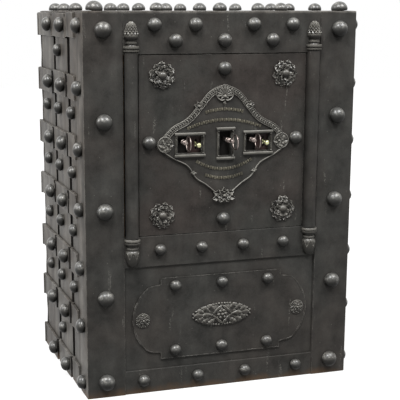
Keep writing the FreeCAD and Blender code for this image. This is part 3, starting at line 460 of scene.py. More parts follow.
# --- finishes
@dataclass(frozen=True)
class IronFinish:
    """Iron under old paint, with worn edges and hammer marks; where asked, painted shade in recesses and on
    undersides, and painted highlight on ridges and rubbed tops.

    Lengths are in metres; amounts and strengths run from 0 up.
    """

    name: str
    colour: Colour
    blotch: Colour
    chip: Colour = (0.27, 0.26, 0.235)
    roughness: float = 0.46
    blotch_amount: float = 0.55
    chip_amount: float = 0.35
    edge_width: float = 0.0012
    edge_amount: float = 0.5
    hammer: float = 0.25
    bump: float = 0.35
    bump_height: float = 0.002
    recess_shade: float = 0.0
    recess_shade_reach: float = 0.007
    specular: float = 0.12
    polish: float = 0.0
    coat_roughness: float = 0.3
    underside_shade: float = 0.82
    ridge: float = 0.0
    lumpy: float = 0.12
    rubbed: float = 0.0
    streak: float = 0.0

    def make(self, effects: SharedEffects) -> Material:
        """Builds the material.

        Args:
            effects: The shared node groups.

        Returns:
            The finished material.
        """
        material, wires, shader = new_finish(self.name)
        chip = opaque(self.chip)
        colours = {"Colour": opaque(self.colour), "Blotch": opaque(self.blotch), "Chip": chip}
        amounts = {"Blotch Amount": self.blotch_amount, "Chip Amount": self.chip_amount}
        surface = {"Roughness": self.roughness, "Streaks": self.streak}
        paint = wires.group(effects.patina, colours | amounts | surface)
        worn = wires.group(effects.edges, {"Width": self.edge_width, "Amount": self.edge_amount})["Mask"]
        if self.ridge:
            # wear and painted highlight: convex ridges, found by pointiness, are lightened towards the chip
            # colour
            form = wires.add("ShaderNodeNewGeometry")
            ridge_wear_and_highlight = wires.band(form.outputs["Pointiness"], 0.51, 0.58)
            worn = wires.math("MAXIMUM", worn, wires.times(ridge_wear_and_highlight, self.ridge))
        colour = wires.mix(worn, paint["Colour"], chip)
        if self.recess_shade:
            # painted shade: ambient occlusion darkens recesses towards the hollow colour
            reach = {"Distance": self.recess_shade_reach}
            hollow = wires.add("ShaderNodeAmbientOcclusion", reach, samples=RAY_SAMPLES)
            depth = wires.band(hollow.outputs["AO"], 0.35, 0.9)
            colour = wires.mix(depth, wires.mix(self.recess_shade, colour, opaque(RECESS_SHADE)), colour)
        if self.polish:
            handled = wires.group(effects.handled, {})
            sheen = wires.times(handled["Sheen"], self.polish)
            wires.fill(shader, {"Coat Weight": sheen, "Coat Roughness": self.coat_roughness})
            # painted shade: faces that look down are darkened towards the near-black underside colour
            underside_shade = wires.mix(self.underside_shade, colour, opaque(UNDERSIDE_SHADE))
            colour = wires.mix(handled["Clean"], underside_shade, colour)
            # rubbed wear and painted highlight: lumpy spots on faces that look up are lightened towards the
            # chip colour
            colour = wires.mix(wires.times(handled["Rubbed"], self.rubbed), colour, chip)
        wires.fill(shader, {"Base Color": colour, "Roughness": paint["Roughness"]})
        wires.fill(shader, {"Specular IOR Level": self.specular})
        dents = wires.group(effects.hammer, {"Depth": self.hammer})
        height = wires.times_plus(paint["Height"], self.lumpy, dents["Height"])
        wires.bump(height, self.bump, self.bump_height, shader)
        return material


@dataclass(frozen=True)
class BrightMetalFinish:
    """Polished steel or brass with fine wear."""

    name: str
    colour: Colour
    tarnish: Colour
    roughness: float = 0.25
    bump: float = 0.15
    bump_height: float = 0.0003

    def make(self) -> Material:
        """Builds the material."""
        material, wires, shader = new_finish(self.name)
        stain = wires.band(wires.noise(190.0, 4.0, 0.6), 0.4, 0.7)
        colour = wires.mix(stain, opaque(self.colour), opaque(self.tarnish))
        fine = wires.noise(900.0, 2.0, 0.5)
        rough = wires.times_plus(fine, 0.2, self.roughness)
        wires.fill(shader, {"Base Color": colour, "Roughness": rough, "Metallic": 1.0})
        wires.bump(fine, self.bump, self.bump_height, shader)
        return material


@dataclass(frozen=True)
class OakFinish:
    """Plain oiled oak with its grain running up or across."""

    name: str
    light: Colour = (0.30, 0.185, 0.095)
    dark: Colour = (0.13, 0.07, 0.032)
    along: tuple[float, float, float] = (1.0, 1.0, 0.07)
    roughness: float = 0.42
    bump: float = 0.4
    bump_height: float = 0.0006

    def make(self) -> Material:
        """Builds the material."""
        material, wires, shader = new_finish(self.name)
        grain = wires.noise(85.0, 6.0, 0.65, wires.stretched(self.along))
        pores = wires.noise(480.0, 3.0, 0.6, wires.stretched(self.along))
        figure = wires.band(grain, 0.32, 0.7)
        colour = wires.mix(figure, opaque(self.light), opaque(self.dark))
        pore = wires.band(pores, 0.6, 0.72)
        colour = wires.mix(wires.times(pore, 0.5), colour, opaque(OAK_PORE))
        rough = wires.times_plus(grain, 0.25, self.roughness)
        wires.fill(shader, {"Base Color": colour, "Roughness": rough})
        wires.bump(pores, self.bump, self.bump_height, shader)
        return material


class Finishes:
    """Every finish on the safe, made once."""

    def __init__(self) -> None:
        """Builds the shared effects and each material."""
        effects = SharedEffects()
        graphite = (0.0375, 0.0368, 0.0340)
        brown = (0.0385, 0.0325, 0.0285)
        self.plate = IronFinish(
            "plate_paint", graphite, brown, roughness=0.5, edge_width=0.0022, edge_amount=0.75, bump=0.4,
            streak=0.7,
        ).make(effects)
        self.door = IronFinish(
            "door_paint", (0.0345, 0.0340, 0.0310), (0.0365, 0.0300, 0.0268), roughness=0.48,
            blotch_amount=0.8, streak=0.5,
        ).make(effects)
        # the straps' paint, lighter than the front's to stand for the stronger light on the sides: paint
        # colour and painted light
        self.strap_painted_light = IronFinish(
            "strap_paint_with_painted_light", (0.124, 0.117, 0.107), (0.064, 0.055, 0.047), roughness=0.5, hammer=1.0,
            bump=0.7, edge_width=0.0026, edge_amount=0.9, recess_shade=0.3, recess_shade_reach=0.006,
            blotch_amount=0.9, chip_amount=0.6, streak=2.4,
        ).make(effects)
        self.stud = IronFinish(
            "stud_paint", (0.066, 0.066, 0.062), (0.050, 0.045, 0.040), roughness=0.44, chip_amount=0.8,
            hammer=0.6, edge_amount=0.0, polish=1.0, bump=0.6, lumpy=0.55, rubbed=0.75,
        ).make(effects)
        self.cast = IronFinish(
            "cast_relief", (0.070, 0.067, 0.060), (0.052, 0.047, 0.040), chip=(0.44, 0.42, 0.37),
            roughness=0.4, chip_amount=0.3, edge_width=0.0014, edge_amount=0.95, recess_shade=0.9, polish=0.75,
            ridge=0.22,
        ).make(effects)
        self.relief = IronFinish(
            "worn_relief", (0.150, 0.145, 0.130), (0.080, 0.073, 0.062), chip=(0.46, 0.44, 0.39),
            roughness=0.42, chip_amount=0.3, edge_width=0.0012, edge_amount=0.9, recess_shade=1.0,
            recess_shade_reach=0.005, polish=0.4, ridge=0.25,
        ).make(effects)
        self.rule = IronFinish(
            "gilt_reeds", (0.160, 0.148, 0.112), (0.09, 0.080, 0.062), chip=(0.42, 0.39, 0.30),
            roughness=0.4, edge_width=0.001, edge_amount=0.8, recess_shade=0.9,
        ).make(effects)
        self.brown = IronFinish(
            "brown_plate", (0.022, 0.013, 0.012), (0.034, 0.02, 0.017), roughness=0.42
        ).make(effects)
        # near-black iron, also used as painted shade on the gaps' walls and in the door's joints
        self.dark = IronFinish(
            "dark_iron_and_painted_shade", (0.006, 0.0055, 0.005), (0.010, 0.008, 0.007), roughness=0.8, edge_amount=0.0,
            chip_amount=0.0,
        ).make(effects)
        self.steel = BrightMetalFinish("bright_steel", (0.29, 0.245, 0.225), (0.11, 0.085, 0.075)).make()
        self.brass = BrightMetalFinish("polished_brass", (0.60, 0.60, 0.36), (0.38, 0.37, 0.20)).make()
        self.oak_up = OakFinish("oak_upright").make()
        self.oak_across = OakFinish("oak_across", along=(0.07, 1.0, 1.0)).make()


# --- workshop
@dataclass(frozen=True)
class Dress:
    """How a finished piece is held and painted."""

    body: Body
    slot: str
    materials: tuple[Material, ...]
    replaces: tuple[str, ...] = ()


class Work:
    """One piece being shaped: a bmesh with the workshop's usual operations."""

    def __init__(self) -> None:
        """Starts with nothing."""
        self.bm = bmesh.new()

    def stamp(self, mesh: Mesh, matrix: Matrix, bend: Bend | None = None) -> None:
        """Adds a copy of a mesh.

        Args:
            mesh: The mesh, which is only read.
            matrix: Where it goes.
            bend: Moves each point once it is in place.
        """
        copy = mesh.copy()
        copy.transform(matrix)
        if bend:
            for vert in copy.vertices:
                vert.co = bend(vert.co.copy())
        self.bm.from_mesh(copy)
        bpy.data.meshes.remove(copy)

    def take(self, part: Work, matrix: Matrix = IN_PLACE, bend: Bend | None = None) -> None:
        """Takes in a part made apart; the arguments are as in stamp()."""
        mesh = part.to_mesh("part")
        self.stamp(mesh, matrix, bend)
        bpy.data.meshes.remove(mesh)

    def block(self, low: Vector, high: Vector, matrix: Matrix = IN_PLACE, bevel: float = 0.0) -> None:
        """A block between two corners, whose edges may be rounded.

        Args:
            low: The lowest corner.
            high: The highest corner.
            matrix: Where the block goes.
            bevel: The width of the edge rounding; 0 leaves them sharp.
        """
        part = Work()
        place = Matrix.Translation((low + high) / 2) @ scaled(*(high - low))
        bmesh.ops.create_cube(part.bm, size=1.0, matrix=place)
        if bevel:
            edges = list(part.bm.edges)
            bmesh.ops.bevel(
                part.bm, geom=edges, offset=bevel, segments=3, profile=0.5, affect="EDGES", material=-1
            )
        self.take(part, matrix)

    def ball(self, radius: float, matrix: Matrix, detail: int = 2) -> None:
        """A ball, stretched as its matrix says."""
        bmesh.ops.create_icosphere(self.bm, subdivisions=detail, radius=radius, matrix=matrix)

    def turned(self, profile: Profile, steps: int, matrix: Matrix, bend: Bend | None = None) -> None:
        """A profile turned about the working z axis.

        Args:
            profile: (radius, height) points from one end of the axis to the other.
            steps: The steps of the full turn.
            matrix: Where the turned piece goes.
            bend: Moves each point once it is in place.
        """
        part = Work()
        points = [part.bm.verts.new((radius, 0.0, height)) for radius, height in profile]
        edges = [part.bm.edges.new(pair) for pair in zip(points, points[1:])]
        part.spin(points + edges, steps)
        self.take(part, matrix, bend)

    def ring(self, major: float, minor: float, matrix: Matrix, steps: int, sides: int) -> None:
        """A round ring about the working z axis.

        Args:
            major: The radius of its middle line.
            minor: The radius of its section.
            matrix: Where the ring goes.
            steps: The steps round the axis.
            sides: The steps round the section.
        """
        part = Work()
        stand = shift(major, 0, 0) @ turn_about(QUARTER, "X")
        bmesh.ops.create_circle(part.bm, segments=sides, radius=minor, matrix=stand)
        part.spin([*part.bm.verts, *part.bm.edges], steps)
        self.take(part, matrix)

    def spin(self, geometry: list[BMVert | BMEdge], steps: int) -> None:
        """Turns all that this part holds about the z axis and closes it."""
        bmesh.ops.spin(
            self.bm, geom=geometry, cent=(0, 0, 0), axis=(0, 0, 1), dvec=(0, 0, 0), angle=TAU,
            steps=steps, use_merge=True, use_duplicate=False,
        )
        bmesh.ops.remove_doubles(self.bm, verts=self.bm.verts, dist=1e-4)

    def sweep(self, profile: Profile, stations: Sequence[Matrix], closed: bool = False) -> None:
        """Carries a profile along stations.

        Args:
            profile: (across, out) points of the section.
            stations: Frames whose x is across, y along and z out.
            closed: Whether the section is a closed loop, which then gets end caps.
        """
        row = [self.bm.verts.new((across, 0.0, out)) for across, out in profile]
        pairs = list(zip(row, row[1:] + row[:1])) if closed else list(zip(row, row[1:]))
        edges = [self.bm.edges.new(pair) for pair in pairs]
        bmesh.ops.transform(self.bm, matrix=stations[0], verts=row)
        if closed:
            self.bm.faces.new(row)
        for before, after in zip(stations, stations[1:]):
            made = bmesh.ops.extrude_edge_only(self.bm, edges=edges)["geom"]
            row = [item for item in made if isinstance(item, BMVert)]
            edges = [
                item
                for item in made
                if isinstance(item, BMEdge) and all(vert in row for vert in item.verts)
            ]
            bmesh.ops.transform(self.bm, matrix=after @ before.inverted(), verts=row)
        if closed:
            bmesh.ops.contextual_create(self.bm, geom=edges)

    def sheet(self, box: Box, outward: Vector, cuts: tuple[int, int]) -> None:
        """A flat sheet on the outer face of a box, ready to be hammered and thickened.

        Args:
            box: The box whose outer face it covers.
            outward: The direction that the face looks, along an axis.
            cuts: Steps along the sheet's first and second side, in x, y, z order.
        """
        normal = main_axis(outward)
        first, second = [axis for axis in range(3) if axis != normal]
        bmesh.ops.create_grid(self.bm, x_segments=cuts[0], y_segments=cuts[1], size=0.5)
        level = box.high[normal] if outward[normal] > 0 else box.low[normal]
        for vert in self.bm.verts:
            spot = Vector((0, 0, 0))
            spot[first] = box.middle[first] + vert.co.x * box.size[first]
            spot[second] = box.middle[second] + vert.co.y * box.size[second]
            spot[normal] = level
            vert.co = spot

    def thicken(self, amount: float, outward: Vector) -> None:
        """Gives every open sheet its thickness, inwards from the side that looks outward."""
        for face in self.bm.faces:
            face.normal_update()
            if face.normal.dot(outward) < 0:
                face.normal_flip()
        bmesh.ops.solidify(self.bm, geom=list(self.bm.faces), thickness=amount)

    def leaf(self, matrix: Matrix, shape: LeafShape, bend: Bend | None = None) -> None:
        """A closed, lobed leaf that lies along the working x axis.

        Args:
            matrix: Where its base goes.
            shape: Its sizes.
            bend: Moves each point once it is in place.
        """
        part = Work()
        bmesh.ops.create_grid(part.bm, x_segments=shape.steps, y_segments=4, size=0.5)
        for vert in part.bm.verts:
            vert.co = shape.place(vert.co.x + 0.5, vert.co.y * 2)
        part.thicken(shape.thick, OUT)
        self.take(part, matrix, bend)

    def to_mesh(self, name: str) -> Mesh:
        """Ends the work as a bare mesh that can be stamped."""
        mesh = bpy.data.meshes.new(name)
        bmesh.ops.recalc_face_normals(self.bm, faces=self.bm.faces)
        self.bm.to_mesh(mesh)
        self.bm.free()
        return mesh

    def finish(self, name: str, dress: Dress, crease: float = 38.0, bevel: float = 0.0) -> Object:
        """Ends the work as a piece of the safe.

        Args:
            name: The piece's name.
            dress: Its body, slot, materials and the nodes it stands for.
            crease: Edges sharper than this many degrees stay sharp.
            bevel: Width of a bevel modifier on the sharp edges, in metres.

        Returns:
            The new object.
        """
        mesh = self.to_mesh(name)
        for material in dress.materials:
            mesh.materials.append(material)
        mesh.polygons.foreach_set("use_smooth", [True] * len(mesh.polygons))
        mesh.set_sharp_from_angle(angle=math.radians(crease))
        piece = bpy.data.objects.new(name, mesh)
        bpy.context.scene.collection.objects.link(piece)
        if bevel:
            rounding = piece.modifiers.new("rounding", "BEVEL")
            rounding.width = bevel
            rounding.segments = 2
            rounding.limit_method = "ANGLE"
            rounding.angle_limit = math.radians(crease)
        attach(piece, dress.body.value)
        if dress.replaces:
            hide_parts(*dress.replaces)
        LOG.info("%s: %d faces, on %s", name, len(mesh.polygons), dress.body.value)
        return piece


@dataclass(frozen=True)
class LeafShape:
    """One carved leaf: length, width, height, curl and thickness are in millimetres, the rest are shares."""

    length: float
    width: float
    lobes: int = 3
    depth: float = 0.3
    height: float = 2.0
    curl: float = 1.0
    thick: float = 0.9
    steps: int = 10
    blunt: float = 0.75
    cup: float = 0.0

    def place(self, along: float, across: float) -> Vector:
        """Where a point of the flat grid goes.

        Args:
            along: 0 at the base to 1 at the tip.
            across: -1 to 1 from edge to edge.

        Returns:
            The point in the working place.
        """
        swell = math.sin(math.pi * min(1.0, along**self.blunt * 0.97 + 0.03)) ** 0.8
        notch = 1 - self.depth * (0.5 - 0.5 * math.cos(TAU * self.lobes * along))
        half = self.width / 2 * swell * notch
        rake = 0.10 * self.length * abs(across) * swell
        vein = 0.3 * self.height * math.exp(-((across / 0.3) ** 2))
        bulge = 1 - 0.75 * across * across
        hollow = 0.1 + 0.9 * across * across
        crown = self.height * (bulge + (hollow - bulge) * self.cup) * swell**0.5
        lobe = 0.35 * self.height * math.cos(TAU * self.lobes * along) * abs(across) * swell
        out = crown - vein + lobe + self.curl * along * along
        return Vector((self.length * along + rake, across * half, out))


def uneven(amount: float, scale: float, seed: float) -> Bend:
    """Small random moves, as hand work leaves.

    Args:
        amount: The most that a point moves.
        scale: How many waves there are in a metre.
        seed: Which pattern.

    Returns:
        The bend for Work.stamp.
    """
    apart = Vector((seed, seed * 1.7, -seed))
    return lambda spot: spot + noise.noise_vector(spot * scale + apart) * amount


def stations_along(points: Sequence[Vector], outward: Vector) -> list[Matrix]:
    """Frames along a line of points for Work.sweep.

    Args:
        points: The line.
        outward: The way the work faces.

    Returns:
        One frame per point: x across, y along, z outward.
    """
    frames = []
    last = len(points) - 1
    for index, point in enumerate(points):
        along = (points[min(index + 1, last)] - points[max(index - 1, 0)]).normalized()
        across = along.cross(outward).normalized()
        frame = Matrix((across, along, outward)).transposed().to_4x4()
        frame.translation = point
        frames.append(frame)
    return frames


def upright_stations(levels: Sequence[float]) -> list[Matrix]:
    """Frames up the z axis for Work.sweep, whose profiles then lie in the floor's x and y."""
    return [shift(0, 0, level) @ turn_about(-QUARTER, "X") for level in levels]


def smooth_line(points: Sequence[Vector], step: float, parts: int = 16) -> list[Vector]:
    """A smooth line through points, at even steps.

    Args:
        points: The points it goes through.
        step: About how far apart the new points are.
        parts: How many short pieces the curve between two points is measured in.

    Returns:
        The new points, from the first to the last.
    """
    ends = [2 * points[0] - points[1], *points, 2 * points[-1] - points[-2]]
    dense: list[Vector] = []
    for before, start, stop, after in zip(ends, ends[1:], ends[2:], ends[3:]):
        for index in range(parts):
            t = index / parts
            curve = (
                2 * start
                + (stop - before) * t
                + (2 * before - 5 * start + 4 * stop - after) * t * t
                + (3 * start - 3 * stop + after - before) * t**3
            )
            dense.append(curve / 2)
    dense.append(points[-1].copy())
    lengths = [0.0]
    for first, second in zip(dense, dense[1:]):
        lengths.append(lengths[-1] + (second - first).length)
    count = max(2, round(lengths[-1] / step))
    line: list[Vector] = []
    place = 0
    for index in range(count + 1):
        want = lengths[-1] * index / count
        while place < len(lengths) - 2 and lengths[place + 1] < want:
            place += 1
        span = lengths[place + 1] - lengths[place] or 1.0
        line.append(dense[place].lerp(dense[place + 1], (want - lengths[place]) / span))
    return line


# --- sub-assemblies
@dataclass
class SubAssembly:
    """A group of the safe's pieces, made from the finishes and the frame's nodes."""

    finishes: Finishes
    nodes: dict[str, Object]

    def solids(self, node: str) -> list[Box]:
        """The boxes of a frame node's solids."""
        return solids_of(self.nodes[node])


# --- studs
@dataclass
class Studs(SubAssembly):
    """Every group of forged rivet heads.

    A group gives its frame node, its body, the way its heads look and how far they draw in at the foot.
    Lengths are shares of a head's radius, and the lean is in radians.
    """

    steps: int = 16
    rings: int = 5
    rise: float = 0.1
    waist: float = 0.36
    lean: float = 0.07
    narrow: float = 0.97
    low: float = 0.93
    dent: float = 0.022
    dents_across: float = 1.6
    seed: int = 7
    groups: tuple[tuple[str, Body, tuple[float, float, float], float], ...] = (
        ("corner_studs", Body.CABINET, (0, -1, 0), 0.09), ("front_studs", Body.CABINET, (0, -1, 0), 0.09),
        ("door_studs", Body.DOOR, (0, -1, 0), 0.09), ("left_side_studs", Body.CABINET, (-1, 0, 0), 0.14),
        ("right_side_studs", Body.CABINET, (1, 0, 0), 0.14),
        ("back_studs", Body.CABINET, (0, 1, 0), 0.14), ("top_studs", Body.CABINET, (0, 0, 1), 0.06),
    )

    def head(self, tuck: float) -> Mesh:
        """One head of radius 1: a ball that stands proud of its plate and draws in where it meets it.

        Args:
            tuck: How far it draws in at its foot.

        Returns:
            The head's mesh, its foot at the origin and its crown up z.
        """
        work = Work()
        waist = self.waist * (0.45 + 2.75 * tuck)
        profile = [(1.0 - tuck, -0.02), (1.0 - 0.42 * tuck, waist * 0.4)]
        for index in range(self.rings + 1):
            angle = QUARTER * index / self.rings
            profile.append((math.cos(angle), waist + (1.0 + self.rise - waist) * math.sin(angle)))
        profile[-1] = (0.0, 1.0 + self.rise)
        work.turned(profile, self.steps, IN_PLACE)
        return work.to_mesh("stud_head")

    def build(self) -> None:
        """Stamps each head where the frame has one, each a little different."""
        chance = random.Random(self.seed)
        for node, body, direction, tuck in self.groups:
            head = self.head(tuck)
            outward = Vector(direction)
            work = Work()
            for box in self.solids(node):
                matrix, bend = self.seat(box, outward, chance)
                work.stamp(head, matrix, bend)
            name = node.replace("studs", "rivet_heads")
            work.finish(name, Dress(body, "stud_iron", (self.finishes.stud,), (node,)))
            bpy.data.meshes.remove(head)

    def seat(self, box: Box, outward: Vector, chance: random.Random) -> tuple[Matrix, Bend]:
        """Where a head goes on the foot of its frame solid.

        Args:
            box: The frame solid's box.
            outward: The way the head looks.
            chance: The source of small differences.

        Returns:
            The head's matrix and its dents.
        """
        tall = abs(box.size.dot(outward))
        radius = tall / (1 + self.rise)
        foot = box.middle - outward * tall / 2
        look = OUT.rotation_difference(outward).to_matrix().to_4x4()
        tip, tilt = [turn_about(chance.uniform(-self.lean, self.lean), axis) for axis in "XY"]
        wide, deep = [radius * chance.uniform(self.narrow, 1.0) for _ in range(2)]
        flat = scaled(wide, deep, radius * chance.uniform(self.low, 0.99))
        turn = turn_about(chance.uniform(0, TAU), "Z")
        bend = uneven(radius * self.dent, self.dents_across / radius, chance.uniform(0, 40))
        return Matrix.Translation(foot) @ look @ (tip @ tilt) @ turn @ flat, bend


# --- straps and bands
@dataclass(frozen=True)
class BandMarks:
    """One band: its box, the way it looks, its axis, the ends and gaps on it, and how each span lies."""

    box: Box
    outward: Vector
    along: int
    edges: list[float]
    tilts: list[float]
    sinks: list[float]
    lifts: list[float]
    seed: float


@dataclass
class HammeredIron(SubAssembly):
    """The straps and the bands hammered down over them, on the sides, the back and the top.

    Lengths are in metres, the waves in a metre, and the cuts along and across.
    """

    strap_thick: float = 0.0045
    strap_cuts: tuple[int, int] = (96, 12)
    strap_round: float = 0.0011
    strap_swell: float = 0.0009
    strap_waves: float = 9
    band_thick: float = 0.0048
    band_cuts: tuple[int, int] = (150, 8)
    band_drop: float = 0.0014
    band_ripple: float = 0.0008
    band_waves: float = 22
    band_lean: float = 0.0009
    band_corner: float = 0.0012
    band_lift: float = 0.0018
    band_climb: float = 0.0022
    band_pinch: float = 0.0016
    crooked: float = 0.0022
    sink: float = 0.005
    sink_half: float = 0.0075
    top_sink: float = 0.25
    gap_edge: float = 0.002
    wide_gap: float = 0.0035
    gap_reach: float = 0.02
    edge_wave: float = 0.0012
    rounding: float = 0.0009
    seed: int = 11
    chance: random.Random = field(init=False)
    top_edge: float = field(init=False)
    side_gaps: list[float] = field(init=False)

    def __post_init__(self) -> None:
        """Seeds the small differences and finds the height that no band passes."""
        self.chance = random.Random(self.seed)
        self.top_edge = node_box("top_rail").high.z
        self.side_gaps = self.gaps("right_side_straps", 1)

    def build(self) -> None:
        """Makes every strap and band."""
        left = Vector((-1, 0, 0))
        right = Vector((1, 0, 0))
        back = Vector((0, 1, 0))
        self.straps("left_side_straps", left)
        self.straps("right_side_straps", right)
        self.straps("back_straps", back)
        self.straps("top_straps", OUT)
        self.bands("left_side_bands", left, 1, self.side_gaps)
        self.bands("right_side_bands", right, 1, self.side_gaps)
        self.bands("back_bands", back, 0, self.gaps("back_straps", 0))

    def dress(self, node: str) -> Dress:
        """The strap finish, lightened as painted light, and the dark one that paints shade on the gaps'
        walls, in place of a node.
        """
        return Dress(Body.CABINET, "strap_iron", (self.finishes.strap_painted_light, self.finishes.dark), (node,))

    def gaps(self, node: str, axis: int) -> list[float]:
        """The middles of the gaps between the straps of a node, along an axis."""
        boxes = sorted(self.solids(node), key=lambda box: box.low[axis])
        return [(left.high[axis] + right.low[axis]) / 2 for left, right in zip(boxes, boxes[1:])]

    def straps(self, node: str, outward: Vector) -> None:
        """The straps of one node: sheets that swell a little and have uneven edges."""
        work = Work()
        normal = main_axis(outward)
        first, second = [axis for axis in range(3) if axis != normal]
        for box in self.solids(node):
            part = Work()
            length = main_axis(box.size)
            width = first if length == second else second
            cuts = self.strap_cuts[::-1] if length == second else self.strap_cuts
            seed = self.chance.uniform(0, 90)
            part.sheet(box, outward, cuts)
            for vert in part.bm.verts:
                share = (vert.co[width] - box.middle[width]) / (box.size[width] / 2)
                swell = noise.noise(vert.co * self.strap_waves + Vector((seed, 0, 0)))
                fall = self.strap_round * abs(share) ** 4 + self.strap_swell * (0.5 + 0.5 * swell)
                vert.co -= outward * fall
                wave = noise.noise(Vector((vert.co[length] * 30, seed, share)))
                vert.co[width] += self.edge_wave * wave * share * share
                if normal == 0:
                    self.draw_back(vert)
            part.thicken(self.strap_thick, outward)
            # painted shade on the walls down into the gaps
            if normal != 2:
                self.paint_gap_shade(part, width, 0.7, [box.low[width], box.high[width]])
            work.take(part)
        work.finish(node.replace("straps", "forged_straps"), self.dress(node), bevel=self.rounding)

    def draw_back(self, vert: BMVert) -> None:
        """Widens the gaps between side straps, the one nearer the front most."""
        for place, amount in zip(self.side_gaps, (self.wide_gap, self.gap_edge)):
            if abs(vert.co.y - place) < self.gap_reach:
                vert.co.y += math.copysign(amount, vert.co.y - place)

    def paint_gap_shade(self, part: Work, axis: int, steep: float, places: Sequence[float]) -> None:
        """Paints shade on the walls down into the gaps: gives them the second, dark finish.

        Args:
            part: The strap or band.
            axis: The axis across the gaps.
            steep: How far a wall's normal leans along that axis.
            places: Where the gaps are on that axis.
        """
        reach = self.sink_half * 1.5
        for face in part.bm.faces:
            face.normal_update()
            middle = face.calc_center_median()[axis]
            if abs(face.normal[axis]) > steep and min(abs(middle - place) for place in places) < reach:
                face.material_index = 1

    def bands(self, node: str, outward: Vector, along: int, gaps: Sequence[float]) -> None:
        """The bands of one node, driven down into the gaps between the straps.

        Args:
            node: The frame node they stand for.
            outward: The way they look.
            along: The axis they run along.
            gaps: Where the gaps under them lie on that axis.
        """
        work = Work()
        for box in self.solids(node):
            part = Work()
            part.sheet(box, outward, self.band_cuts)
            edges = [box.low[along], *gaps, box.high[along]]
            topmost = box.high.z > self.top_edge - MM
            marks = BandMarks(
                box, outward, along, edges, tilts=[self.chance.uniform(-1, 1) for _ in edges],
                sinks=[self.sink * (self.top_sink if topmost else self.chance.uniform(0.6, 1)) for _ in gaps],
                lifts=[self.chance.uniform(-1, 1) for _ in edges], seed=self.chance.uniform(0, 90),
            )
            for vert in part.bm.verts:
                self.hammer(vert, marks)
            part.thicken(self.band_thick, outward)
            # painted shade on the walls down into the gaps
            self.paint_gap_shade(part, along, 0.42, gaps)
            work.take(part)
        work.finish(node.replace("bands", "hammered_bands"), self.dress(node), bevel=self.rounding)

    @staticmethod
    def ramp(share: float) -> float:
        """A soft step from 0 to 1 that is half way up where share is 1."""
        rise = min(1.0, max(0.0, (share - 0.72) / 0.56))
        return rise * rise * (3 - 2 * rise)

    def hammer(self, vert: BMVert, marks: BandMarks) -> None:
        """Moves one point of a band to where the hammer left it."""
        place = vert.co[marks.along]
        edges = marks.edges
        span = max(index for index, edge in enumerate(edges[:-1]) if place >= edge - SAME_SPOT)
        share = (place - edges[span]) / (edges[span + 1] - edges[span])
        upper = (vert.co.z - marks.box.middle.z) / (marks.box.size.z / 2)
        crooked = place + self.crooked * noise.noise(Vector((vert.co.z * 55, marks.seed, 0)))
        dips = [1 - self.ramp(abs(crooked - gap) / self.sink_half) for gap in edges[1:-1]]
        dip = max(dips)
        flat = 1 - dip
        ripple = noise.noise(vert.co * self.band_waves + Vector((0, marks.seed, 0)))
        lean = self.band_lean * marks.tilts[span] * (share - 0.5)
        corner = self.band_corner * max(0.0, upper) ** 3 * flat
        sunk = max(depth * reached for depth, reached in zip(marks.sinks, dips))
        fall = sunk + self.band_ripple * (0.5 + 0.5 * ripple) - lean - corner + self.band_drop
        vert.co -= marks.outward * fall
        wave = noise.noise(Vector((place * 34, marks.seed, upper)))
        lift = self.band_lift * marks.lifts[span] * flat + self.band_climb * (share - 0.5)
        vert.co.z += (self.edge_wave * wave + lift) * abs(upper) - self.band_pinch * dip * upper
        vert.co.z = min(vert.co.z, self.top_edge)


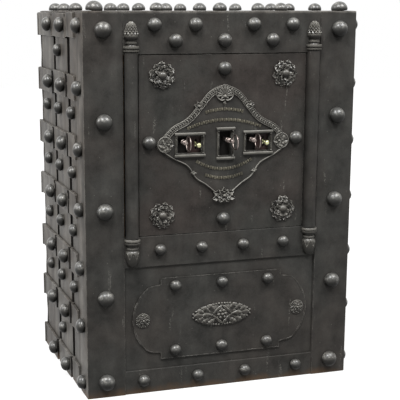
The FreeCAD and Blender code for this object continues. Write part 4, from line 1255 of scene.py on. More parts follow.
# --- front plates
@dataclass
class FrontPlates(SubAssembly):
    """The corner angles, the three rails, the lower panel and its raised plaque."""

    edge: float = 0.0011
    rounding: float = 0.0016
    wobble: float = 0.00035
    dish: float = 0.0003
    corner_steps: int = 120
    rail_cuts: int = 140
    rail_play: float = 0.0001
    floor_play: float = 0.00015
    plaque_rim: float = 0.0012

    def build(self) -> None:
        """Makes each plate."""
        for side in Side:
            self.corner(side)
        for node in ("top_rail", "mid_rail", "bottom_rail"):
            self.rail(node)
        self.plaque()

    def corner(self, side: Side) -> None:
        """One corner angle: a wide front leg and a narrow side leg, rounded where they meet."""
        name = f"{side.name.lower()}_corner_angle"
        box = node_box(name)
        shell = node_box("front_frame")
        thick = shell.low.y - box.low.y
        inner = box.low.x if side is Side.RIGHT else box.high.x
        outer = box.high.x if side is Side.RIGHT else box.low.x
        sign = side.value
        turn = self.rounding
        corners = [
            (inner, box.low.y + self.edge), (inner + sign * self.edge, box.low.y),
            (outer - sign * turn, box.low.y), (outer - sign * turn * 0.3, box.low.y + turn * 0.3),
            (outer, box.low.y + turn), (outer, box.high.y - self.edge),
            (outer - sign * self.edge, box.high.y), (outer - sign * thick, box.high.y),
            (outer - sign * thick, box.low.y + thick), (inner, box.low.y + thick),
        ]
        work = Work()
        steps = range(self.corner_steps + 1)
        levels = [box.low.z + box.size.z * index / self.corner_steps for index in steps]
        work.sweep(corners, upright_stations(levels), True)
        for vert in work.bm.verts:
            near_edge = min(abs(vert.co.x - inner), abs(vert.co.y - box.high.y)) < 0.003
            wave = noise.noise(vert.co * 28)
            if near_edge:
                vert.co.x += sign * self.wobble * wave
            vert.co.y += abs(noise.noise(vert.co * 5)) * self.dish
        bmesh.ops.recalc_face_normals(work.bm, faces=work.bm.faces)
        # painted light: the corner's side face takes the lighter strap paint, lighter than its own front
        for face in work.bm.faces:
            if face.normal.x * sign > 0.75:
                face.material_index = 1
        dress = Dress(Body.CABINET, "plate_iron", (self.finishes.plate, self.finishes.strap_painted_light), (name,))
        work.finish(name + "_forged", dress, crease=30)

    def rail(self, node: str) -> None:
        """One rail: a flat bar with an uneven, lightly rounded edge."""
        box = node_box(node)
        work = Work()
        inset = Vector((self.rail_play, 0, 0))
        work.block(box.low + inset, box.high - inset)
        half = box.size.x / 2
        lengthwise = [edge for edge in work.bm.edges if abs(edge.verts[0].co.x - edge.verts[1].co.x) > half]
        bmesh.ops.subdivide_edges(work.bm, edges=lengthwise, cuts=self.rail_cuts, use_grid_fill=True)
        for vert in work.bm.verts:
            if node != "top_rail" or vert.co.z < box.middle.z:
                vert.co.z += self.wobble * 0.8 * noise.noise(Vector((vert.co.x * 36, vert.co.z * 2, 3.0)))
            vert.co.z = max(vert.co.z, self.floor_play)
        dress = Dress(Body.CABINET, "plate_iron", (self.finishes.plate,), (node,))
        work.finish(node + "_forged", dress, bevel=self.edge)

    def plaque(self) -> None:
        """The raised plaque's worn outline: a thin rounded rim round the frame's own plaque."""
        box = node_box("lower_plaque")
        outline = plaque_outline(box)
        work = Work()
        rim = self.plaque_rim
        side = rim * 0.7
        rise = rim * 0.55
        profile = [(-rim, 0.0), (-side, rise), (0.0, rim * 0.75), (side, rise), (rim, 0.0)]
        for run in outline:
            line = [point + Vector((0, 0.0002, 0)) for point in run]
            work.sweep(profile, stations_along(line, Vector((0, -1, 0))))
        work.finish("plaque_worn_rim", Dress(Body.CABINET, "plate_iron", (self.finishes.plate,)))


def plaque_outline(box: Box) -> list[list[Vector]]:
    """The plaque's outline on its front face, as one line per straight or curved run.

    Args:
        box: The plaque's box.

    Returns:
        The runs, as points in metres.
    """
    face = box.low.y
    middle = box.middle
    reach = box.size.x / 2
    tall = box.size.z / 2
    # shares of the frame's own plaque: where its straight edges end and where its bends begin
    half = reach * 137 / 200
    short = tall * 75 / 88.5
    shoulder = (half + 0.57 * (reach - half), 0.84 * short)
    runs: list[list[Vector]] = []

    def at(across: float, up: float) -> Vector:
        """A point of the front face, from its middle."""
        return Vector((middle.x + across, face, middle.z + up))

    for sign in (-1, 1):
        straight = [at(-half, sign * tall), at(half, sign * tall)]
        runs.append(smooth_line(straight, 0.008))
        bends = [
            at(sign * half, short), at(sign * shoulder[0], shoulder[1]), at(sign * reach, 0),
            at(sign * shoulder[0], -shoulder[1]), at(sign * half, -short),
        ]
        runs.append(smooth_line(bends, 0.005))
        for up in (-1, 1):
            runs.append(smooth_line([at(sign * half, up * short), at(sign * half, up * tall)], 0.004))
    return runs


# --- columns
@dataclass
class Columns(SubAssembly):
    """The two turned columns with pinecone tops and leafy acorn feet.

    The shafts' sizes are in metres, and those of the cones, the buds and their leaves in millimetres.
    """

    steps: int = 48
    slimming: float = 0.0015
    shaft_levels: int = 70
    shaft_edge: float = 0.0008
    shaft_wobble: float = 0.00022
    # the dark arc of painted shade in the column's groove: its radii, steps and angles
    groove_shade_radii: tuple[float, float] = (0.01515, 0.0154)
    groove_shade_steps: int = 12
    groove_shade_angles: tuple[float, float] = (100, 66)
    cone_rows: int = 8
    cone_scales: int = 11
    cone_radius: float = 12.9
    cone_foot: float = 33.0
    cone_tall: float = 25.2
    leaf_count: int = 6
    leaf_radius: float = 13.4
    leaf_top: float = 34.5

    def build(self) -> None:
        """Makes both shafts and all four ends."""
        for side in Side:
            self.shaft(side)
        upper = Work()
        lower = Work()
        for side in Side:
            self.top(upper, side)
            self.foot(lower, side)
        looks = (self.finishes.cast, self.finishes.plate)
        upper.finish("pinecone_tops", Dress(Body.CABINET, "cast_iron_ornament", looks, ("upper_finials",)))
        lower.finish("acorn_feet", Dress(Body.CABINET, "cast_iron_ornament", looks, ("lower_finials",)))

    def axis(self, side: Side) -> tuple[float, float]:
        """The column's axis: x and y. The left shaft's box is round, so its middle is the axis."""
        middle = node_box("left_column_shaft").middle
        return -middle.x * side.value, middle.y

    def shaft(self, side: Side) -> None:
        """One shaft, plain and slightly uneven."""
        node = f"{side.name.lower()}_column_shaft"
        box = node_box(node)
        radius = box.size.x / 2 - self.slimming
        x, y = self.axis(side)
        edge = self.shaft_edge
        plain = box.size.z - 2 * edge
        steps = range(self.shaft_levels + 1)
        profile = [(0.0, 0.0), (radius - edge, 0.0)]
        profile += [(radius, edge + plain * index / self.shaft_levels) for index in steps]
        profile += [(radius - edge, box.size.z), (0.0, box.size.z)]
        work = Work()
        work.turned(profile, self.steps, shift(x, y, box.low.z), uneven(self.shaft_wobble, 14, 3))
        body = Body.DOOR if side is Side.LEFT else Body.CABINET
        work.finish(node + "_turned", Dress(body, "plate_iron", (self.finishes.plate,), (node,)))
        # the hinge column also carries the painted-shade strips in the door's joints
        if side is Side.LEFT:
            self.shade_strips(x, y, radius)

    def shade_strips(self, x: float, y: float, radius: float) -> None:
        """Dark strips of painted shade in the joints round the door: by the hinge column, in its groove,
        above and below.

        Args:
            x: The hinge column's axis, across.
            y: The same, front to back.
            radius: The column's radius.
        """
        door = node_box("door_plate")
        front = door.low.y
        # painted shade: a dark strip in the gap beside the hinge column
        beside = Work()
        low = Vector((x + radius - 0.0006, front + 0.0008, door.low.z))
        beside.block(low, Vector((door.low.x + 0.0001, front + 0.004, door.high.z)))
        beside.finish("hinge_joint_painted_shade", Dress(Body.DOOR, "plate_iron", (self.finishes.dark,)))
        # painted shade: a dark arc in the column's groove, and dark strips in the gaps above and below the
        # door
        around = Work()
        near, far = self.groove_shade_radii
        first, span = self.groove_shade_angles
        steps = self.groove_shade_steps
        angles = [math.radians(first + span * index / steps) for index in range(steps + 1)]
        arc = [(x + near * math.cos(angle), y + near * math.sin(angle)) for angle in angles]
        arc += [(x + far * math.cos(angle), y + far * math.sin(angle)) for angle in reversed(angles)]
        around.sweep(arc, upright_stations((door.low.z, door.high.z)), True)
        bmesh.ops.recalc_face_normals(around.bm, faces=around.bm.faces)
        under = (node_box("mid_rail").high.z, door.low.z)
        over = (door.high.z, node_box("top_rail").low.z)
        for low_z, high_z in (under, over):
            play = (high_z - low_z) * 0.1
            low = Vector((door.low.x, front + 0.0025, low_z + play))
            around.block(low, Vector((door.high.x, front + 0.0035, high_z - play)))
        around.finish("door_joint_painted_shade", Dress(Body.CABINET, "plate_iron", (self.finishes.dark,)))

    def place(self, side: Side, node: str) -> Matrix:
        """From millimetres on the column's axis, z up from the foot of a node, to metres in the frame."""
        x, y = self.axis(side)
        return shift(x, y, node_box(node).low.z) @ Matrix.Scale(MM, 4)

    def top(self, work: Work, side: Side) -> None:
        """A double ring, a neck with a fillet, a cup and a pinecone of pointed scales."""
        place = self.place(side, "upper_finials")
        ring = [(0, 0), (15.6, 0), (16.3, 0.8), (16.3, 3.4), (14.6, 4.2), (14.6, 5.0), (16.6, 6.0)]
        ring += [(16.9, 8.4), (16.3, 10.8)]
        neck = [(10.8, 11.8), (10.0, 13.2), (10.0, 15.4), (11.8, 16.4), (11.8, 18.4), (10.0, 19.4)]
        cup = [(10.0, 22.0), (12.4, 24.4), (14.4, 27.6), (15.1, 31.0), (14.6, 33.0), (11.6, 34.0)]
        cone = [self.cone_spot(math.radians(climb), 0.9) for climb in (8, 22, 36, 50, 64, 78)]
        work.turned(ring + neck + cup + cone + [(0.0, 57.9)], self.steps, place)
        for row in range(self.cone_rows):
            climb = math.radians(4 + 74 * row / (self.cone_rows - 1))
            radius, height = self.cone_spot(climb, 0.0)
            count = self.cone_scales if row < self.cone_rows - 2 else self.cone_scales // 2
            for index in range(count):
                angle = TAU * (index + 0.5 * (row % 2)) / count
                flare = 1.6 if row == 0 else 0.0
                seat = place @ turn_about(angle, "Z") @ shift(radius + flare - 0.9, 0, height)
                self.scale(work, seat @ turn_about(-climb, "Y"), 6.2 - 1.6 * math.sin(climb))

    def cone_spot(self, climb: float, inset: float) -> tuple[float, float]:
        """A point of a pinecone's outline.

        Args:
            climb: How far up the outline's curve, in radians.
            inset: How far under the skin, in millimetres.

        Returns:
            Its radius and its height, in millimetres.
        """
        radius = (self.cone_radius - inset) * math.cos(climb) ** 0.9
        return (radius, self.cone_foot + (self.cone_tall - inset) * math.sin(climb))

    @staticmethod
    def scale(work: Work, seat: Matrix, size: float) -> None:
        """One pinecone scale: a pointed, keeled lozenge that lies on the cone.

        Args:
            work: The column tops' work.
            seat: Its place, x out of the cone and z up.
            size: Its height, in millimetres.
        """
        shape = scaled(2.1, size * 0.6, size * 0.72)
        bmesh.ops.create_cone(
            work.bm, cap_ends=True, segments=4, radius1=1.0, radius2=0.3, depth=1.0,
            matrix=seat @ shape @ turn_about(QUARTER, "Y") @ shift(0, 0, 0.5),
        )

    def foot(self, work: Work, side: Side) -> None:
        """A double ring, a neck with a fillet and an upside-down bud wrapped in low leaves."""
        place = self.place(side, "lower_finials")
        tall = node_box("lower_finials").size.z / MM
        bud = [(0.0, 0.0), (5.0, 0.8), (9.6, 4.4), (12.4, 10.0), (14.0, 18.0), (14.8, 26.0), (14.8, 31.0)]
        neck = [(13.8, 35.4), (11.8, 37.8), (10.8, 38.6), (12.4, 39.8), (12.8, 42.0), (12.2, 44.0)]
        neck.append((10.4, 45.2))
        ring = [(10.2, 12.2), (15.8, 11.4), (16.6, 10.2), (16.6, 7.4), (14.8, 6.4), (14.8, 5.6)]
        ring += [(16.9, 4.6), (16.9, 1.4), (16.0, 0), (0, 0)]
        work.turned(bud + neck + [(radius, tall - down) for radius, down in ring], self.steps, place)
        leaf = LeafShape(
            length=33, width=15, lobes=3, depth=0.3, height=1.5, curl=-2.0, thick=1.0, steps=18, cup=0.6
        )
        hang = turn_about(math.radians(98), "Y")
        for index in range(self.leaf_count):
            turn = turn_about(TAU * (index + 0.35) / self.leaf_count, "Z")
            seat = place @ turn @ shift(self.leaf_radius, 0, self.leaf_top) @ hang
            work.leaf(seat, leaf, lambda spot: self.wrap(spot, place))

    def wrap(self, spot: Vector, place: Matrix) -> Vector:
        """Where a leaf's point goes when it is drawn in towards the bud's tip."""
        local = place.inverted() @ spot
        flat = Vector((local.x, local.y, 0))
        share = min(1.0, max(0.0, local.z / 34))
        want = 0.6 + 14.4 * math.sqrt(max(0.0, 1 - (1 - min(1.0, share * 1.2)) ** 2))
        over = flat.length - self.leaf_radius
        if flat.length > SAME_SPOT:
            flat = flat.normalized() * (want + max(-0.6, min(2.2, over * 0.5)))
        return place @ Vector((flat.x, flat.y, local.z))


# --- cast ornament
@dataclass
class CastOrnament(SubAssembly):
    """The rosettes and the leafy centre piece.

    A ring of the large rosette gives its leaves' count, start, length, width, level, lobes, height and curl:
    start, length and width as shares of the rosette's radius, level, height and curl in millimetres.
    A leaf of the fan gives where it starts and its length, as shares of the half sizes, and its turn in
    degrees.
    """

    rings: tuple[tuple[int, float, float, float, float, int, float, float], ...] = (
        (10, 0.38, 0.64, 0.56, 1.2, 3, 4.2, 0.8), (9, 0.26, 0.50, 0.46, 4.0, 2, 3.8, 2.0),
        (8, 0.18, 0.36, 0.36, 6.8, 1, 2.8, 2.2),
    )
    boss_share: float = 0.3
    boss_level: float = 7.6
    rope_beads: int = 22
    rim_lobes: int = 21
    rim_reach: float = 0.955
    fan: tuple[tuple[float, float, float, float], ...] = (
        (0.24, 0.34, 42.0, 0.30), (0.40, 0.22, 36.0, 0.32), (0.56, 0.12, 26.0, 0.30),
    )
    heart_petals: int = 6

    def build(self) -> None:
        """Makes the three groups."""
        self.door_rosettes()
        self.small_rosettes()
        self.centre_piece()

    def dress(self, body: Body, node: str) -> Dress:
        """The cast finish on a body, in place of a node."""
        return Dress(body, "cast_iron_ornament", (self.finishes.cast,), (node,))

    def door_rosettes(self) -> None:
        """Four ragged rosettes: three rings of lobed leaves round a smooth button."""
        work = Work()
        chance = random.Random(23)
        for box in self.solids("door_rosettes"):
            radius = box.size.x / 2 / MM
            place = on_front(box.middle.x, box.high.y, box.middle.z, chance.uniform(0, TAU))
            self.rosette(work, place, radius, chance)
        work.finish("leafy_rosettes", self.dress(Body.DOOR, "door_rosettes"), crease=50)

    def rosette(self, work: Work, place: Matrix, radius: float, chance: random.Random) -> None:
        """One large rosette.

        Args:
            work: The rosettes' work.
            place: Its middle, z out.
            radius: Its radius in millimetres.
            chance: The source of small differences between leaves.
        """
        base = [(0, 0), (radius * 0.74, 0), (radius * 0.68, 1.4), (radius * 0.46, 3.4), (0, 4.0)]
        work.turned(base, 24, place)
        for row, (count, start, length, width, level, lobes, height, curl) in enumerate(self.rings):
            for index in range(count):
                turn = TAU * (index + 0.5 * (row % 2)) / count + chance.uniform(-0.09, 0.09)
                leaf = LeafShape(
                    length=radius * length * chance.uniform(0.9, 1.06),
                    width=radius * width * chance.uniform(0.9, 1.12), lobes=lobes, depth=0.3,
                    height=height * chance.uniform(0.8, 1.2), curl=curl * chance.uniform(0.5, 1.5),
                    thick=1.2, steps=14, blunt=0.9, cup=0.35,
                )
                lean = turn_about(chance.uniform(-0.3, 0.3), "X")
                work.leaf(place @ flat_turn(turn) @ shift(radius * start, 0, level) @ lean, leaf)
        boss = shift(0, 0, self.boss_level) @ scaled(1, 1, 0.7)
        work.ball(radius * self.boss_share, place @ boss, 3)

    def small_rosettes(self) -> None:
        """Two small rosettes: a rope ring, eight lobed leaves, six smaller ones and a button."""
        work = Work()
        chance = random.Random(5)
        for box in self.solids("small_rosettes"):
            radius = box.size.x / 2 / MM
            place = on_front(box.middle.x, box.high.y, box.middle.z, chance.uniform(0, TAU))
            base = [(0, 0), (radius * 0.96, 0), (radius * 0.92, 1.6), (radius * 0.7, 2.2), (0, 3.2)]
            work.turned(base, 28, place)
            for index in range(self.rope_beads):
                twist = flat_turn(TAU * index / self.rope_beads) @ shift(radius * 0.88, 0, 1.8)
                work.ball(1.25, place @ twist @ (turn_about(0.7, "Z") @ scaled(1.0, 1.7, 1.0)), 1)
            outer = LeafShape(length=radius * 0.62, width=radius * 0.5, depth=0.42, height=1.9, curl=0.6)
            inner = LeafShape(length=radius * 0.36, width=radius * 0.34, lobes=2, height=1.6)
            for leaf, count, ahead, start, level in ((outer, 8, 0, 0.22, 2.2), (inner, 6, 0.5, 0.1, 4.0)):
                for index in range(count):
                    turn = flat_turn(TAU * (index + ahead) / count)
                    work.leaf(place @ turn @ shift(radius * start, 0, level), leaf)
            work.ball(radius * 0.18, place @ shift(0, 0, 5.4))
        work.finish("small_rope_rosettes", self.dress(Body.CABINET, "small_rosettes"), crease=50)

    def centre_piece(self) -> None:
        """The long ornament: a flower in a diamond of ridges, leaves to each side, all in a beaded rim."""
        box = node_box("centre_ornament")
        half = box.size.x / 2 / MM
        tall = box.size.z / 2 / MM
        place = on_front(box.middle.x, box.high.y, box.middle.z)
        work = Work()
        bed = place @ scaled(half * 0.9, tall * 0.88, 1)
        work.turned([(0, 0), (1.0, 0), (0.96, 1.6), (0.6, 3.0), (0, 3.4)], 40, bed)
        for index in range(self.rim_lobes):
            x = -self.rim_reach + 2 * self.rim_reach * index / (self.rim_lobes - 1)
            reach = tall * 0.9 * (1 - x * x) ** 0.72
            swell = 2.5 + 0.35 * (index % 2)
            for up in (-1, 1):
                spot = shift(half * x, up * reach, 1.5) @ scaled(1.15, 1, 0.9)
                work.ball(swell, place @ spot)
        spread = half * 0.33
        rise = tall * 0.8
        slope = math.atan2(rise, spread)
        ridge = LeafShape(length=math.hypot(spread, rise), width=7.6, depth=0.2, height=3.0, blunt=1.0)
        stout = {"depth": 0.2, "thick": 1.2}
        tip = LeafShape(length=half * 0.36, width=tall * 0.6, lobes=2, height=3.2, curl=0.4, **stout)
        inner = LeafShape(length=half * 0.34, width=tall * 0.5, lobes=2, height=3.4, blunt=1.2, **stout)
        for sign in (-1, 1):
            flip = place @ scaled(sign, 1, 1)
            work.leaf(flip @ shift(half * 0.60, 0, 2.6), tip)
            work.leaf(flip @ shift(half * 0.32, 0, 3.2), inner)
            for up in (-1, 1):
                for x, y, turn, size in self.fan:
                    leaf = LeafShape(half * size, tall * 0.52, height=3.4, curl=0.5, blunt=1.35, **stout)
                    work.leaf(flip @ flat_turn(up * math.radians(turn), half * x, up * tall * y, 2.4), leaf)
                work.leaf(flip @ flat_turn(math.pi - up * slope, spread, 0, 3.4), ridge)
        self.heart(work, place)
        work.finish("leafy_centre_piece", self.dress(Body.CABINET, "centre_ornament"), crease=50)

    def heart(self, work: Work, place: Matrix) -> None:
        """The centre piece's own flower: a ring of round lobes about a taller eye, on a low dome."""
        work.ball(12.0, place @ shift(0, 0, 2.4) @ scaled(1, 1, 0.26), 3)
        petal = LeafShape(length=7.0, width=6.0, lobes=1, depth=0.0, height=1.6, curl=-2.0, blunt=1.2)
        for index in range(self.heart_petals):
            lobe = flat_turn(TAU * (index + 0.08) / self.heart_petals)
            work.ball(3.9, place @ lobe @ shift(8.0, 0, 4.2) @ scaled(1.1, 1, 0.8))
            between = flat_turn(TAU * (index + 0.58) / self.heart_petals, 0, 0, 4.2) @ shift(7.4, 0, 0)
            work.leaf(place @ between, petal)
        work.ball(3.6, place @ shift(0, 0, 6.6))


# --- lock plate
def mirrored(turn: float, side: int) -> float:
    """A turn in degrees as an angle in radians, mirrored where side is -1."""
    angle = math.radians(turn)
    return angle if side > 0 else math.pi - angle


@dataclass
class LockPlate(SubAssembly):
    """The shaped lock plate: leaf border, nodes, shell, reeded arcs and three framed windows.

    The ogees' points are shares of the plate's half width and of its height above its level, which is the
    height of its noses. An arc gives the heights of its middle and its ends over that level, and its half
    width, in millimetres.
    """

    upper: tuple[tuple[float, float], ...] = (
        (0.0, 1.0), (0.22, 0.885), (0.385, 0.665), (0.555, 0.447), (0.765, 0.31), (0.91, 0.14),
    )
    lower: tuple[tuple[float, float], ...] = (
        (0.925, -0.105), (0.76, -0.235), (0.555, -0.366), (0.43, -0.577), (0.277, -0.7), (0.13, -0.845),
    )
    arcs: tuple[tuple[float, float, float], ...] = (
        (72.0, 66.5, 40.0), (50.0, 34.5, 80.0), (-53.0, -35.0, 61.0), (-72.0, -64.0, 42.0),
    )
    foot_share: float = 0.975
    band: float = 12.5
    pitch: float = 5.0
    nose_at: tuple[float, float] = (0.878, 0.016)
    spray_back: float = 6.5
    shell_lobes: int = 9
    rim: float = 6.0
    half: float = field(init=False)
    tall: float = field(init=False)
    place: Matrix = field(init=False)

    def __post_init__(self) -> None:
        """Finds the plate's half width, its height above its level, and its working place."""
        plate = node_box("lock_plate")
        self.half = plate.size.x / 2 / MM
        self.tall = plate.size.z / MM / (1 + self.foot_share)
        self.place = on_front(plate.middle.x, plate.low.y, plate.high.z - self.tall * MM)

    def build(self) -> None:
        """Makes the border, the ornaments on it, the reeds and the window frames."""
        self.border()
        self.reeds()
        self.window_frames()

    def run(self, shares: Profile, side: int, inset: float, step: float) -> list[Vector]:
        """A smooth line along one ogee in the working place.

        Args:
            shares: The ogee's points.
            side: -1 on the left, 1 on the right.
            inset: How far in from the outline it runs, in millimetres.
            step: About how far apart its points are, in millimetres.

        Returns:
            The line's points.
        """
        points = [Vector((side * x * self.half, y * self.tall, 0)) for x, y in shares]
        line = smooth_line(points, step)
        moved = []
        last = len(line) - 1
        for index, point in enumerate(line):
            along = (line[min(index + 1, last)] - line[max(index - 1, 0)]).normalized()
            normal = Vector((-along.y, along.x, 0))
            if normal.dot(-point) < 0:
                normal = -normal
            moved.append(point + normal * inset)
        return moved

    def carry(self, work: Work, profile: Profile, line: Sequence[Vector]) -> list[Matrix]:
        """Sweeps a moulding along a line of the working place and returns its frames."""
        frames = stations_along(line, OUT)
        work.sweep(profile, [self.place @ frame for frame in frames])
        return frames

    def border(self) -> None:
        """The raised border, wide and leafy above, thin below, with its ornaments."""
        work = Work()
        for side in (-1, 1):
            top = self.run(self.upper, side, self.band / 2 - 0.5, 2.6)
            self.leafy_band(work, top, side)
            low = self.run(self.lower, side, 1.7, 3.0)
            self.carry(work, [(-1.7, 0), (-1.5, 1.6), (-0.7, 2.5), (0.3, 2.6), (1.2, 2.0), (1.7, 0)], low)
            self.clover(work, side)
            self.nose(work, side)
            self.lower_corner(work, side)
        self.shell(work)
        self.bottom_leaves(work)
        dress = Dress(Body.DOOR, "cast_iron_ornament", (self.finishes.relief,), ("lock_border",))
        work.finish("lock_plate_border", dress, crease=50)

    def leafy_band(self, work: Work, line: Sequence[Vector], side: int) -> None:
        """A flat band between two beads, filled with pairs of small leaves.

        Args:
            work: The border's work.
            line: The band's middle line, from the top outwards.
            side: -1 on the left, 1 on the right.
        """
        half = self.band / 2
        profile = [
            (-half, 0.0), (-half, 2.4), (-half + 0.7, 3.2), (-half + 1.5, 2.4), (-half + 1.8, 1.5),
            (half - 1.8, 1.5), (half - 1.5, 2.4), (half - 0.7, 3.2), (half, 2.4), (half, 0.0),
        ]
        leaf = LeafShape(length=6.6, width=4.4, lobes=1, depth=0.1, height=2.0, curl=0.3, thick=0.8, steps=6)
        for index, frame in enumerate(self.carry(work, profile, line)[1:-1:2]):
            for up in (-1, 1):
                seat = frame @ flat_turn(QUARTER - up * 0.75, up * 0.4, -2.2, 1.4)
                work.leaf(self.place @ seat, leaf)
            if index % 2 == 1:
                bar = shift(0, 0, 2.2) @ scaled(half * 0.8, 0.95, 1.5)
                work.ball(1.0, self.place @ frame @ bar)

    def clover(self, work: Work, side: int) -> None:
        """The leafy knot where the upper ogee turns."""
        spot = Vector((side * 0.385 * self.half, 0.645 * self.tall, 1.2))
        looks = {"width": 7.6, "lobes": 1, "depth": 0.1, "height": 3.0, "curl": 0.8, "thick": 1.0, "cup": 0.7}
        for turn, length in ((15, 9.5), (80, 8.0), (140, 9.5), (200, 9.5), (265, 8.0), (320, 9.5)):
            self.sprout(work, spot, mirrored(turn, side), LeafShape(length, **looks))
        work.ball(3.0, self.place @ Matrix.Translation(spot + OUT * 2.6))

    def sprout(self, work: Work, spot: Vector, angle: float, leaf: LeafShape) -> None:
        """Sets a leaf down at a spot of the working place, turned to an angle."""
        work.leaf(self.place @ flat_turn(angle, *spot), leaf)

    def nose(self, work: Work, side: int) -> None:
        """The round boss at the plate's side: a ring round a spray of leaves, with a pointed tip."""
        across, up = self.nose_at
        seat = self.place @ shift(side * across * self.half, up * self.tall, 0)
        work.turned([(0, 0), (16.2, 0), (16.2, 1.6), (13.5, 2.0), (0, 3.0)], 36, seat)
        work.ring(15.6, 1.35, seat @ shift(0, 0, 1.9), 44, 8)
        tip = LeafShape(15, 13, lobes=1, depth=0.0, height=2.6, curl=0.0, thick=1.2, steps=8, blunt=0.5)
        facing = 0.0 if side > 0 else math.pi
        work.leaf(seat @ flat_turn(facing, side * 4.0, 0, 0.6), tip)
        back = -side * self.spray_back
        sizes = ((0, 22, 13), (46, 18, 12), (-46, 18, 12), (96, 14, 10), (-96, 14, 10), (180, 12, 10))
        for turn, length, width in sizes:
            leaf = LeafShape(length, width, height=3.0, curl=0.3, thick=1.0, cup=0.6)
            work.leaf(seat @ shift(back, 0, 2.4) @ flat_turn(facing + math.radians(turn)), leaf)
        work.ball(2.6, seat @ shift(back, 0, 5.0))

    def lower_corner(self, work: Work, side: int) -> None:
        """The little shield and curl where the lower ogee turns in."""
        spot = Vector((side * 0.46 * self.half, -0.50 * self.tall, 1.4))
        leaf = LeafShape(length=7.5, width=5.5, lobes=1, depth=0.1, height=2.2, curl=0.6, thick=0.9)
        for turn in (35, 95, 160):
            self.sprout(work, spot, mirrored(turn, side), leaf)
        work.ball(2.2, self.place @ Matrix.Translation(spot + OUT * 1.4))

    def shell(self, work: Work) -> None:
        """The scallop at the top, in a swag of two scrolls with a drop under it."""
        root = Vector((0, 0.80 * self.tall, 1.8))
        looks = {"lobes": 1, "depth": 0.0, "height": 3.4, "curl": 1.4, "thick": 1.1, "steps": 8, "blunt": 1.3}
        middle = self.shell_lobes // 2
        for index in range(self.shell_lobes):
            length = 20.5 - 3.0 * abs(index - middle) / middle
            self.sprout(work, root, math.radians(6 + 21 * index), LeafShape(length, 6.4, **looks))
        work.ball(4.6, self.place @ Matrix.Translation(root + Vector((0, -0.5, 1.2))) @ scaled(1, 1, 0.8))
        swag = ((19.5, 8.0), (18.0, 0.5), (13.0, -5.5), (6.5, -8.5), (1.6, -6.6), (2.4, -2.8), (6.0, -2.8))
        for side in (-1, 1):
            points = [Vector((side * x, root.y + y, 1.6)) for x, y in (*swag, (6.6, -5.2))]
            rim = [(-2.1, 0), (-1.8, 1.8), (0, 3.0), (1.8, 1.8), (2.1, 0)]
            self.carry(work, rim, smooth_line(points, 1.1))
        drop = LeafShape(length=12, width=6.5, lobes=2, height=2.6, curl=0.2, thick=1.0)
        self.sprout(work, Vector((0, root.y - 8, 1.8)), -QUARTER, drop)

    def bottom_leaves(self, work: Work) -> None:
        """The spray of leaves at the foot of the plate."""
        root = Vector((0, -0.895 * self.tall, 1.2))
        upright = ((90, 17, 12, 0.8), (-90, 14, 13, 1.8))
        paired = (
            (20, 24, 15, 0.6), (-14, 26, 14, 1.0), (-48, 17, 13, 1.4),
            (50, 15, 11, 2.6), (0, 16, 11, 3.0), (-60, 11, 9, 3.2),
        )
        spray = [(1, sizes) for sizes in upright] + [(side, sizes) for sizes in paired for side in (1, -1)]
        work.ball(1.0, self.place @ Matrix.Translation(root) @ scaled(21, 11, 2.6), 3)
        for side, (turn, length, width, level) in spray:
            leaf = LeafShape(length, width, height=3.6, curl=0.8, thick=1.1, steps=14, cup=0.75)
            self.sprout(work, root + OUT * level, mirrored(turn, side), leaf)
        work.ball(3.4, self.place @ Matrix.Translation(root + OUT * 6.0))

    def reeds(self) -> None:
        """Four arcs of bead and reel."""
        work = Work()
        for middle, end, half in self.arcs:
            count = int(half // self.pitch)
            for index in range(-count, count + 1):
                x = index * self.pitch
                y = middle + (end - middle) * (x / half) ** 2
                slope = math.atan2(2 * (end - middle) * x / half**2, 1.0)
                seat = self.place @ flat_turn(slope, x, y, 0.4)
                if index % 2:
                    work.ball(1.0, seat @ scaled(2.2, 3.5, 1.8))
                else:
                    for across in (-1.15, 1.15):
                        reel = seat @ shift(across, 0, 0)
                        work.block(Vector((-0.6, -3.4, 0)), Vector((0.6, 3.4, 1.6)), reel, bevel=0.3)
        dress = Dress(Body.DOOR, "cast_iron_ornament", (self.finishes.rule,))
        work.finish("bead_and_reel_arcs", dress, crease=60)

    def window_frames(self) -> None:
        """The moulded frames, their top and bottom bars a little longer than the sides."""
        work = Work()
        for box in self.solids("window_frames"):
            self.frame(work, box)
        looks = (self.finishes.cast, self.finishes.relief)
        dress = Dress(Body.DOOR, "cast_iron_ornament", looks, ("window_frames",))
        work.finish("moulded_window_frames", dress, crease=30)

    def frame(self, work: Work, box: Box) -> None:
        """One frame: a stepped moulding round its opening, two capping bars and a bead in each corner.

        Args:
            work: The frames' work.
            box: The frame node's solid.
        """
        place = on_front(box.middle.x, box.high.y, box.middle.z)
        wide = box.size.x / 2 / MM
        tall = box.size.z / 2 / MM
        part = Work()
        corners = ((-wide, -tall, 0), (wide, -tall, 0), (wide, tall, 0), (-wide, tall, 0))
        face = part.bm.faces.new([part.bm.verts.new(corner) for corner in corners])
        raised = bmesh.ops.extrude_face_region(part.bm, geom=[face])["geom"]
        lifted = [item for item in raised if isinstance(item, BMVert)]
        top = next(item for item in raised if isinstance(item, BMFace))
        bmesh.ops.translate(part.bm, verts=lifted, vec=(0, 0, 2.2))
        for thickness, depth in ((0.7, 0.9), (0.9, 0.7), (1.0, -0.6), (0.8, -0.8), (1.2, 0.3), (1.4, -2.7)):
            bmesh.ops.inset_region(part.bm, faces=[top], thickness=thickness, depth=depth)
        bmesh.ops.delete(part.bm, geom=[top, face], context="FACES")
        work.take(part, place)
        reach = wide + 1.6
        for sign in (-1, 1):
            bar = Work()
            below, above = (4.0, 2.2) if sign > 0 else (2.2, 4.0)
            low = Vector((-reach, sign * tall - below, 0.0))
            bar.block(low, Vector((reach, sign * tall + above, 5.8)), place, bevel=1.5)
            for bar_face in bar.bm.faces:
                bar_face.material_index = 1
            work.take(bar)
            for across in (-1, 1):
                work.ball(2.3, place @ shift(across * (wide - self.rim / 2), sign * (tall - self.rim), 2.6))


